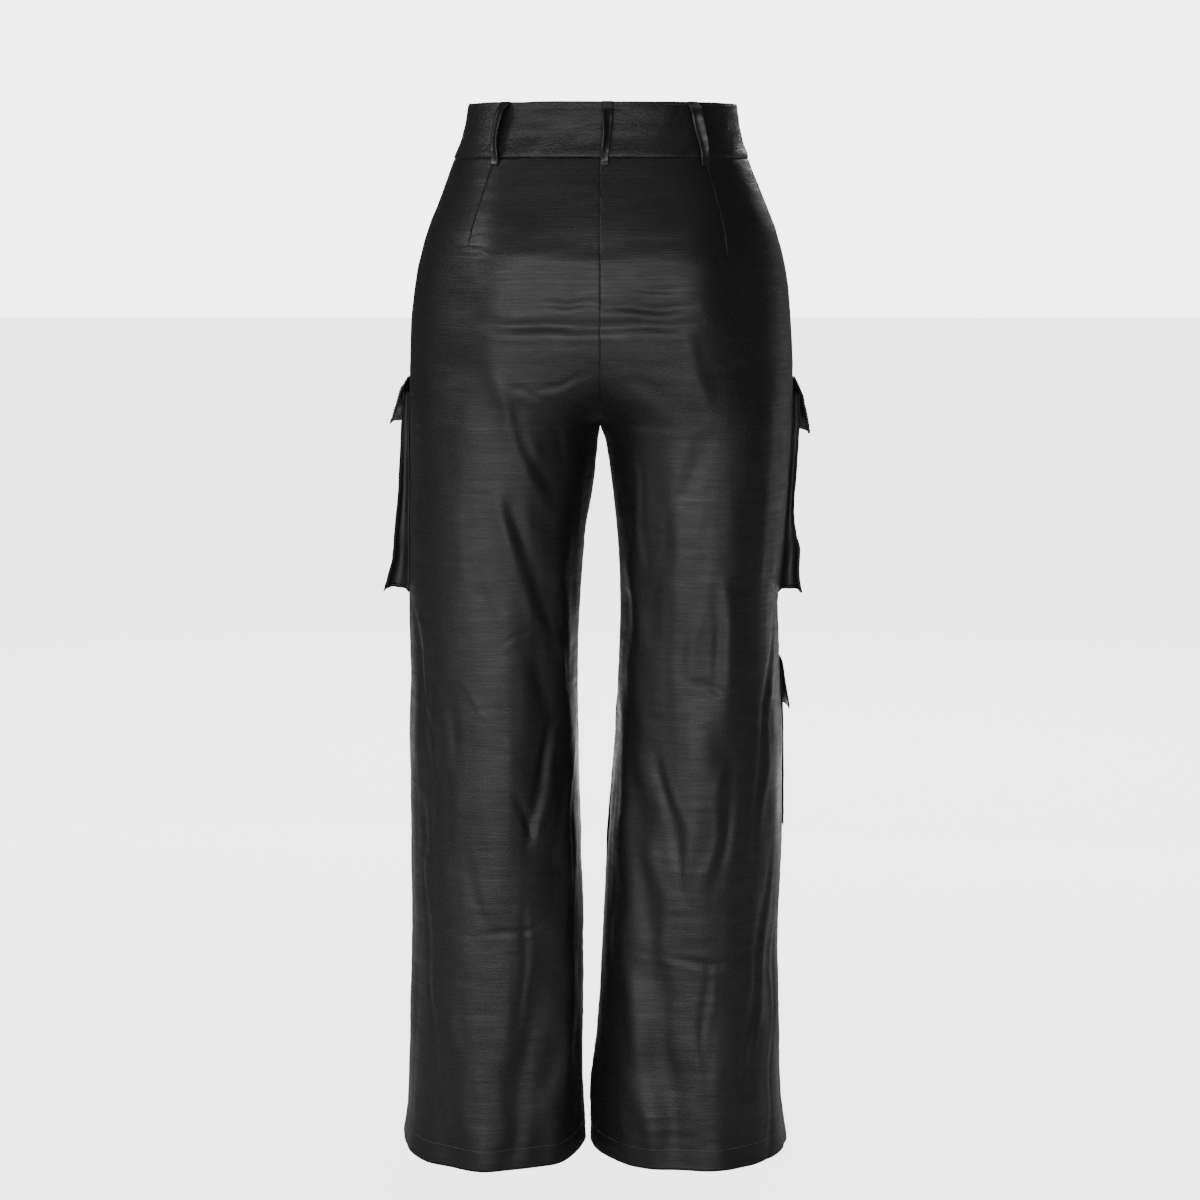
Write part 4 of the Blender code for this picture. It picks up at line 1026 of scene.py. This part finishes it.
bpy.ops.object.select_all(action="DESELECT")
bpy.ops.mesh.primitive_cylinder_add(vertices=64, radius=BUTTON_RADIUS, depth=BUTTON_THICK)
button = bpy.context.object
button.name = "resin_button"
bpy.ops.object.mode_set(mode="EDIT")
bpy.ops.mesh.select_all(action="DESELECT")
bpy.ops.mesh.select_mode(type="FACE")
shape = bmesh.from_edit_mesh(button.data)
for face in shape.faces:
    face.select = face.normal.z > 0.9
bmesh.update_edit_mesh(button.data)
bpy.ops.mesh.inset(thickness=0.0016)
bpy.ops.mesh.inset(thickness=0.0005)
bpy.ops.transform.translate(value=(0, 0, -0.0007))
bpy.ops.mesh.inset(thickness=0.0012)
bpy.ops.transform.translate(value=(0, 0, -0.0002))
bpy.ops.object.mode_set(mode="OBJECT")
rim = button.modifiers.new("rim", "BEVEL")
rim.width = 0.0006
rim.segments = 3
rim.limit_method = "ANGLE"
rim.angle_limit = math.radians(40)
bpy.ops.object.modifier_apply(modifier="rim")
for number in range(4):
    angle = math.pi / 4 + number * math.pi / 2
    bpy.ops.object.select_all(action="DESELECT")
    bpy.ops.mesh.primitive_cylinder_add(
        vertices=20, radius=HOLE_RADIUS, depth=3 * BUTTON_THICK,
        location=(HOLE_CIRCLE * math.cos(angle), HOLE_CIRCLE * math.sin(angle), 0),
    )
    drill = bpy.context.object
    hole = button.modifiers.new("hole", "BOOLEAN")
    hole.object = drill
    bpy.context.view_layer.objects.active = button
    bpy.ops.object.modifier_apply(modifier="hole")
    bpy.data.objects.remove(drill, do_unlink=True)
bpy.ops.object.select_all(action="DESELECT")
button.select_set(True)
bpy.ops.object.shade_smooth_by_angle(angle=math.radians(35))
button.data.materials.clear()
button.data.materials.append(make_resin())

button_arc = seam_arc(RIGHT, FRONT, 0.0) - BUTTON_X
button_out = BAND_PROUD + BAND_PUFF + BUTTON_THICK / 2 + 0.0002
button_place = on_cloth(RIGHT, [0.0], [button_arc], button_out)[0]
button_facing = button_place - on_cloth(RIGHT, [0.0], [button_arc], 0.0)[0]
turn = Vector(button_facing).to_track_quat("Z", "Y").to_matrix().to_4x4()
button.data.transform(Matrix.Translation(button_place) @ turn)
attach(button, "root")
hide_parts("waist_button")

button_lines = []
axis_x, axis_y, axis_z = (np.array(turn.col[i][:3]) for i in range(3))
for row in (-1, 1):
    ends = np.array([[-1.3, row, 0], [1.3, row, 0]]) * HOLE_CIRCLE * math.sin(math.pi / 4)
    for lift in (0.0, 0.00025):
        start, end = (button_place + axis_x * x + axis_y * (y + 4 * lift * row) + axis_z * 0.0012
                      for x, y, _ in ends)
        button_lines.append((np.linspace(start, end, 12), np.tile(axis_z, (12, 1))))
sew("button_thread", button_lines, seam_black, pitch=0.0011, long=0.0022)
reach = np.linspace(BUTTON_RADIUS, BUTTON_RADIUS + 0.0055, 12)
hole_lines = [surface_line(RIGHT, high, button_arc - reach, BAND_PROUD + BAND_PUFF)
              for high in (-0.0011, 0.0011)]
sew("buttonhole_stitches", hole_lines, seam_black, pitch=0.0006, long=0.0009)


# ---------------------------------------------------------------- belt loops
# Five narrow loops of folded satin, caught in the band's top edge and tacked just below its
# seam. They are slack, so each stands off the band and twists a little on its way down.

LOOP_WIDTH = 0.0105
LOOP_WALL = 0.0014
LOOP_CLEAR = 0.0017
Stand = namedtuple("Stand", "z out")
LOOP_STAND = [
    Stand(0.0268, 0.0020),
    Stand(0.0240, 0.0036),
    Stand(0.0195, 0.0070),
    Stand(0.0120, 0.0086),
    Stand(-0.0080, 0.0084),
    Stand(-0.0190, 0.0072),
    Stand(-0.0265, 0.0040),
    Stand(-0.0300, 0.0024),
    Stand(-0.0335, 0.0018),
]
Loop = namedtuple("Loop", "node side face x_top x_low twist pinch")
LOOPS = [
    Loop("belt_loop_back_left", LEFT, BACK, 0.0885, 0.0970, 0.55, 0.30),
    Loop("belt_loop_back_centre", RIGHT, BACK, 0.0070, 0.0045, 0.60, 0.28),
    Loop("belt_loop_back_right", RIGHT, BACK, 0.0870, 0.0970, -0.55, 0.25),
    Loop("belt_loop_front_left", LEFT, FRONT, 0.0720, 0.0760, 0.30, 0.15),
    Loop("belt_loop_front_right", RIGHT, FRONT, 0.0720, 0.0760, -0.35, 0.15),
]


def stand_off(table, z):
    return smooth_table(z, [row.z for row in table], [row.out for row in table])


loop_satin = make_satin("loop_satin", (0.0065, 0.0065, 0.0067), (0.0300, 0.0299, 0.0302),
                        0.36, 0.8, 0.00025)
loop_lines = []
for number, loop in enumerate(LOOPS):
    level = np.linspace(LOOP_STAND[0].z, LOOP_STAND[-1].z, 44)
    share = (BAND_TOP - level) / (BAND_TOP - BAND_LOW)
    bow = 0.0016 * np.sin(math.pi * np.clip(share, 0, 1)) * math.copysign(1, loop.twist)
    x = loop.x_top + (loop.x_low - loop.x_top) * share + bow
    middle = arc_at_x(loop.side, loop.face, level, x)
    out = stand_off(LOOP_STAND, level)
    free = np.sin(math.pi * np.clip((share - 0.02) / 1.05, 0, 1)) ** 0.7
    turned = loop.twist * free
    narrow = 1 - loop.pinch * ease((share - 0.35) / 0.6)
    across = np.linspace(-0.5, 0.5, 9)[None, :] * LOOP_WIDTH * narrow[:, None]
    arc = middle[:, None] + across * np.cos(turned)[:, None]
    cup = -0.0007 * np.cos(across / LOOP_WIDTH * math.pi * 2) * free[:, None]
    rise = out[:, None] + across * np.sin(turned)[:, None] + cup
    points = on_cloth(loop.side, level[:, None], arc, np.maximum(rise, LOOP_CLEAR))
    uv = np.stack(np.broadcast_arrays(level[:, None] + 5.2, arc + 0.7 * number), axis=-1)
    points, uv = turned_out(points, uv, outward_at(loop.side, level[0], middle[0]))
    strap = grid_mesh(f"{loop.node}_strap", points, uv, loop_satin)
    stand_in(strap, loop.node, wall=LOOP_WALL)
    for level_here in (LOOP_STAND[-1].z + 0.0018, LOOP_STAND[-1].z + 0.0034):
        middle_here = np.interp(-level_here, -level, middle)
        half = LOOP_WIDTH * narrow[-1] / 2 - 0.0008
        reach = np.linspace(middle_here - half, middle_here + half, 10)
        loop_lines.append(surface_line(loop.side, level_here, reach, 0.0024))
sew("loop_tacks", loop_lines, seam_black, pitch=0.0011, long=0.0010)


# ---------------------------------------------------------------- cargo pockets
# A bellows pocket hangs on the side seam of each leg, the two unlike as worn: a face, a folded
# gusset sewn round its back edge, bottom and front edge, and a stiff flap that flares outwards.

CARGO_BACK = 0.012
CARGO_FRONT = -0.138
CARGO_MOUTH = -0.252
CARGO_LOW = -0.452
CARGO_CORNER = 0.0045
CARGO_WIDE = CARGO_BACK - CARGO_FRONT
CARGO_TALL = CARGO_MOUTH - CARGO_LOW
FLAP_INSET = 0.003
FLAP_WALL = 0.0018
CARGO_STAND = {
    LEFT: [
        Stand(-0.252, 0.0060), Stand(-0.290, 0.0072), Stand(-0.335, 0.0092),
        Stand(-0.370, 0.0118), Stand(-0.410, 0.0160), Stand(-0.436, 0.0200), Stand(-0.456, 0.0232),
    ],
    RIGHT: [
        Stand(-0.252, 0.0060), Stand(-0.300, 0.0064), Stand(-0.345, 0.0062),
        Stand(-0.368, 0.0074), Stand(-0.393, 0.0126), Stand(-0.409, 0.0172),
        Stand(-0.427, 0.0172), Stand(-0.456, 0.0220),
    ],
}
FLAP_STAND = {
    LEFT: [
        Stand(-0.238, 0.0024), Stand(-0.243, 0.0052), Stand(-0.252, 0.0098),
        Stand(-0.268, 0.0146), Stand(-0.284, 0.0198),
    ],
    RIGHT: [
        Stand(-0.238, 0.0024), Stand(-0.244, 0.0052), Stand(-0.255, 0.0096),
        Stand(-0.275, 0.0132), Stand(-0.292, 0.0170),
    ],
}

# The cargo and knee pockets and their flaps take a darker copy of the same satin: its lower tone is painted
# shade, not a different cloth.
shaded_pocket_satin = make_satin("shaded_pocket_satin", (0.0048, 0.0048, 0.0050), (0.0180, 0.0179, 0.0182),
                          0.46, 1.6, 0.00030)


def edge_lines(length, inner):
    """Shares from 0 to 1 over a length, with close lines beside both edges."""
    close = np.array([0, 0.0007, 0.0016, 0.0028, 0.0045, 0.0070]) / length
    middle = np.linspace(0.0100 / length, 1 - 0.0100 / length, inner)
    return np.concatenate([close, middle, 1 - close[::-1]])


def three_edges(back, front, top, low, down, across):
    """A stitched line down the back edge, along the bottom and up the front edge."""
    arc = np.concatenate([np.full(down, back), np.linspace(back, front, across), np.full(down, front)])
    z = np.concatenate([np.linspace(top, low, down), np.full(across, low), np.linspace(low, top, down)])
    return z, arc


def pocket_out(side, z, arc):
    """How far a cargo pocket's face stands off the leg, slack and creased as it hangs."""
    across = np.clip((arc - CARGO_FRONT) / CARGO_WIDE, 0, 1)
    edge = np.minimum((1 - across), across) * CARGO_WIDE
    fall = np.clip((CARGO_MOUTH - z) / CARGO_TALL, 0, 1)
    out = stand_off(CARGO_STAND[side], z) + 0.0040 * np.sin(math.pi * across) * (1 - 0.3 * fall)
    out = out + 0.0022 * waves(arc + 0.3, z, 0.034, 0.075, 71 + side) * np.sin(math.pi * across) ** 0.5
    out = out + 0.0010 * waves(arc + 0.9, z, 0.016, 0.028, 75 + side)
    out = out + 0.0030 * np.exp(-((edge / 0.016) ** 2)) * ease((fall - 0.8) / 0.2)
    from_low = z - CARGO_LOW
    near = np.minimum(edge, np.maximum(from_low, 0))
    rolled = 0.0006 * np.exp(-(((near - 0.0008) / 0.0012) ** 2))
    return out + rolled - 0.0006 * np.exp(-(((near - 0.0034) / 0.0012) ** 2))


def flap_out(side, z, arc):
    """How far a flap stands off the leg: it flares, and its corners curl."""
    across = np.clip((arc - CARGO_FRONT) / CARGO_WIDE, 0, 1)
    lift = np.clip((FLAP_STAND[side][0].z - z) / 0.012, 0, 1)
    out = stand_off(FLAP_STAND[side], z) + 0.0036 * np.sin(math.pi * across) * lift
    return out + 0.0011 * waves(arc, z, 0.026, 0.040, 91 + side) * lift


def cargo_path(count, inset=0.0):
    """The pocket's edge from the back of its mouth, round the bottom, to the front."""
    back, front, low = CARGO_BACK - inset, CARGO_FRONT + inset, CARGO_LOW + inset
    bend = np.linspace(0, math.pi / 2, 7)[1:-1]
    r = CARGO_CORNER
    down = np.linspace(CARGO_MOUTH, low + r, count)
    across = np.linspace(back - r, front + r, count)
    arc = np.concatenate([np.full(count, back), back - r + r * np.cos(bend), across,
                          front + r - r * np.sin(bend), np.full(count, front)])
    z = np.concatenate([down, low + r - r * np.sin(bend), np.full(count, low),
                        low + r - r * np.cos(bend), down[::-1]])
    in_arc = np.concatenate([np.full(count, -1.0), -np.cos(bend), np.zeros(count), np.sin(bend),
                             np.ones(count)])
    in_z = np.concatenate([np.zeros(count), np.sin(bend), np.ones(count), np.cos(bend), np.zeros(count)])
    return arc, z, in_arc, in_z


for side, side_name in ((LEFT, "left"), (RIGHT, "right")):
    level = CARGO_MOUTH - edge_lines(CARGO_TALL, 64)[:, None] * CARGO_TALL
    from_low = np.clip((level - CARGO_LOW) / CARGO_CORNER, 0, 1)
    drawn = CARGO_CORNER * (1 - np.sqrt(1 - (1 - from_low) ** 2))
    arc = CARGO_BACK - drawn - edge_lines(CARGO_WIDE, 46)[None, :] * (CARGO_WIDE - 2 * drawn)
    face_piece = lay_sheet(f"{side_name}_cargo_face", f"cargo_face_{side_name}", side, level, arc,
                           pocket_out(side, level, arc), WALL, 6.1, shaded_pocket_satin)

    path_arc, path_z, in_arc, in_z = cargo_path(40)
    depth = np.linspace(0, 1, 11)[:, None]
    base, brim = 0.0009, pocket_out(side, path_z, path_arc) - WALL - 0.0004
    out = base + (brim - base)[None, :] * depth
    fold_in = np.minimum(0.38 * brim, 0.0062) * (0.75 + 0.35 * waves(path_arc, path_z, 0.03, 0.03, 81))
    pulled = fold_in[None, :] * np.sin(math.pi * depth) ** 0.8 + 0.0009 * depth
    points = on_cloth(side, path_z + in_z * pulled, path_arc + in_arc * pulled, out)
    run = np.concatenate([[0], np.cumsum(np.hypot(np.diff(path_arc), np.diff(path_z)))])
    uv = np.stack(np.broadcast_arrays(out + 7.3, run[None, :] + 0.4 * side), axis=-1)
    away = on_cloth(side, [-0.3], [CARGO_BACK + 0.01], 0) - on_cloth(side, [-0.3], [CARGO_BACK], 0)
    points, uv = turned_out(points, uv, away[0])
    gusset = grid_mesh(f"{side_name}_cargo_gusset", points, uv, shaded_pocket_satin)
    stand_in(gusset, f"cargo_gusset_{side_name}")

    flap_top, flap_low = FLAP_STAND[side][0].z, FLAP_STAND[side][-1].z
    wide, tall = CARGO_WIDE - 2 * FLAP_INSET, flap_top - flap_low
    level = flap_top - edge_lines(tall, 18)[:, None] * tall
    arc = CARGO_BACK - FLAP_INSET - edge_lines(wide, 46)[None, :] * wide
    uneven = 0.0012 * waves(arc, level, 0.05, 1, 95) * (level < CARGO_MOUTH + 0.002)
    flap = lay_sheet(f"{side_name}_cargo_flap", f"cargo_flap_{side_name}", side, level + uneven, arc,
                     flap_out(side, level, arc), FLAP_WALL, 8.3, shaded_pocket_satin)

    pocket_lines = []
    arc, z, _, _ = cargo_path(60, 0.0028)
    pocket_lines.append(surface_line(side, z, arc, pocket_out(side, z, arc) + THREAD_LIFT))
    for inset in (0.0020, 0.0070):
        z, arc = three_edges(CARGO_BACK - FLAP_INSET - inset, CARGO_FRONT + FLAP_INSET + inset,
                             flap_top - 0.002, flap_low + inset, 16, 60)
        pocket_lines.append(surface_line(side, z, arc, flap_out(side, z, arc) + THREAD_LIFT))
    arc = np.linspace(CARGO_BACK - 0.005, CARGO_FRONT + 0.005, 60)
    z = np.full(60, CARGO_MOUTH - 0.02)
    pocket_lines.append(surface_line(side, z, arc, pocket_out(side, z, arc) + THREAD_LIFT))
    sew(f"{side_name}_cargo_stitches", pocket_lines, seam_black)


# ---------------------------------------------------------------- knee pocket
# A flat patch pocket with its own flap, on the outside of the right leg only. Both are
# edge-stitched to the leg.

KNEE_BACK = 0.004
KNEE_FRONT = -0.116
KNEE_MOUTH = -0.530
KNEE_LOW = -0.690
KNEE_FLAP_STAND = [
    Stand(-0.518, 0.0018),
    Stand(-0.524, 0.0034),
    Stand(-0.545, 0.0054),
    Stand(-0.571, 0.0082),
]


KNEE_INSET = 0.002


def knee_out(z, arc):
    across = np.clip((arc - KNEE_FRONT) / (KNEE_BACK - KNEE_FRONT), 0, 1)
    fall = np.clip((KNEE_MOUTH - z) / (KNEE_MOUTH - KNEE_LOW), 0, 1)
    puff = (np.sin(math.pi * across) * np.sin(math.pi * (0.15 + 0.85 * fall))) ** 0.5
    return 0.0015 + 0.0014 * puff + 0.0008 * waves(arc, z, 0.022, 0.04, 97) * puff


def knee_flap_out(z, arc):
    loose = np.clip((KNEE_FLAP_STAND[0].z - z) / 0.02, 0, 1)
    return stand_off(KNEE_FLAP_STAND, z) + 0.0012 * waves(arc, z, 0.026, 0.04, 98) * loose


wide, tall = KNEE_BACK - KNEE_FRONT, KNEE_MOUTH - KNEE_LOW
level = KNEE_MOUTH - edge_lines(tall, 50)[:, None] * tall
arc = KNEE_BACK - edge_lines(wide, 38)[None, :] * wide
knee_pocket = lay_sheet("right_knee_pocket", "knee_pocket", RIGHT, level, arc, knee_out(level, arc),
                        0.0009, 9.1, shaded_pocket_satin)

wide, tall = wide - 2 * KNEE_INSET, KNEE_FLAP_STAND[0].z - KNEE_FLAP_STAND[-1].z
level = KNEE_FLAP_STAND[0].z - edge_lines(tall, 16)[:, None] * tall
arc = KNEE_BACK - KNEE_INSET - edge_lines(wide, 38)[None, :] * wide
knee_flap = lay_sheet("right_knee_flap", "knee_flap", RIGHT, level, arc, knee_flap_out(level, arc),
                      0.0014, 9.7, shaded_pocket_satin)

z, arc = three_edges(KNEE_BACK - 0.0024, KNEE_FRONT + 0.0024, KNEE_MOUTH, KNEE_LOW + 0.0024, 50, 40)
knee_lines = [surface_line(RIGHT, z, arc, knee_out(z, arc) + THREAD_LIFT)]
z, arc = three_edges(KNEE_BACK - 2 * KNEE_INSET, KNEE_FRONT + 2 * KNEE_INSET,
                     KNEE_FLAP_STAND[0].z - 0.002, KNEE_FLAP_STAND[-1].z + 0.002, 16, 40)
knee_lines.append(surface_line(RIGHT, z, arc, knee_flap_out(z, arc) + THREAD_LIFT))
sew("knee_stitches", knee_lines, seam_black)


# ---------------------------------------------------------------- floor, light and camera
# A plain pale studio floor under the hems, a wide strip of soft light behind the camera at its
# own height with a weaker one low down, a higher one at the front, and weak fills.

FLOOR_Z = HEM_Z - 0.004

bpy.ops.object.select_all(action="DESELECT")
bpy.ops.mesh.primitive_plane_add(size=40, location=(0, 0, FLOOR_Z))
floor = bpy.context.object
floor.name = "studio_floor"
floor_paint, paint_nodes, paint = new_material("pale_floor")
paint.inputs["Base Color"].default_value = (0.50, 0.50, 0.50, 1)
paint.inputs["Roughness"].default_value = 0.9
paint.inputs["Emission Color"].default_value = (1, 1, 1, 1)
looked_at = add_node(paint_nodes, "ShaderNodeLightPath")
glow = times(paint_nodes, looked_at.outputs["Is Camera Ray"], 3.4)
paint_nodes.links.new(glow, paint.inputs["Emission Strength"])
floor.data.materials.append(floor_paint)


def soft_light(name, place, aim, width, height, power, spread=180):
    data = bpy.data.lights.new(name, "AREA")
    data.shape = "RECTANGLE"
    data.size = width
    data.size_y = height
    data.energy = power
    data.spread = math.radians(spread)
    light = bpy.data.objects.new(name, data)
    bpy.context.scene.collection.objects.link(light)
    light.location = place
    light.visible_camera = False
    light.rotation_euler = (Vector(aim) - Vector(place)).to_track_quat("-Z", "Y").to_euler()


soft_light("back_strip", (0.55, 3.2, 0.10), (0, 0, -0.30), 3.8, 0.40, 53)
soft_light("back_low_strip", (0.20, 1.5, -0.92), (0, 0, -0.72), 3.2, 0.12, 1.8, 100)
soft_light("front_strip", (-0.45, -2.9, 1.15), (0, 0, -0.35), 2.6, 0.8, 90)
soft_light("front_low_strip", (-0.20, -1.5, -0.92), (0, 0, -0.72), 3.2, 0.12, 1.8, 100)
soft_light("left_fill", (3.1, 1.1, 1.15), (0, 0, -0.2), 1.1, 0.8, 30)
soft_light("right_fill", (-2.9, -1.9, -0.35), (0, 0, -0.45), 1.6, 1.6, 5)
soft_light("top_light", (0, 0, 3.6), (0, 0, 0), 4.0, 4.0, 26)

world = bpy.data.worlds.new("studio")
bpy.context.scene.world = world
world.use_nodes = True
sky = world.node_tree
backdrop = sky.nodes["Background"]
backdrop.inputs["Color"].default_value = (1, 1, 1, 1)
seen = add_node(sky, "ShaderNodeLightPath")
strength = add_node(sky, "ShaderNodeMapRange", values={"To Min": 0.04, "To Max": 5.0},
                    links={"Value": seen.outputs["Is Camera Ray"]})
sky.links.new(strength.outputs["Result"], backdrop.inputs["Strength"])

CAMERA_PLACE = (0.0, 2.80, -0.063)
CAMERA_AIM = (0.0, 0.0, -0.461)
camera_data = bpy.data.cameras.new("camera")
camera_data.lens = 85
camera_data.sensor_width = 36
camera = bpy.data.objects.new("camera", camera_data)
bpy.context.scene.collection.objects.link(camera)
camera.location = CAMERA_PLACE
camera.rotation_euler = (Vector(CAMERA_AIM) - Vector(CAMERA_PLACE)).to_track_quat("-Z", "Y").to_euler()
bpy.context.scene.camera = camera
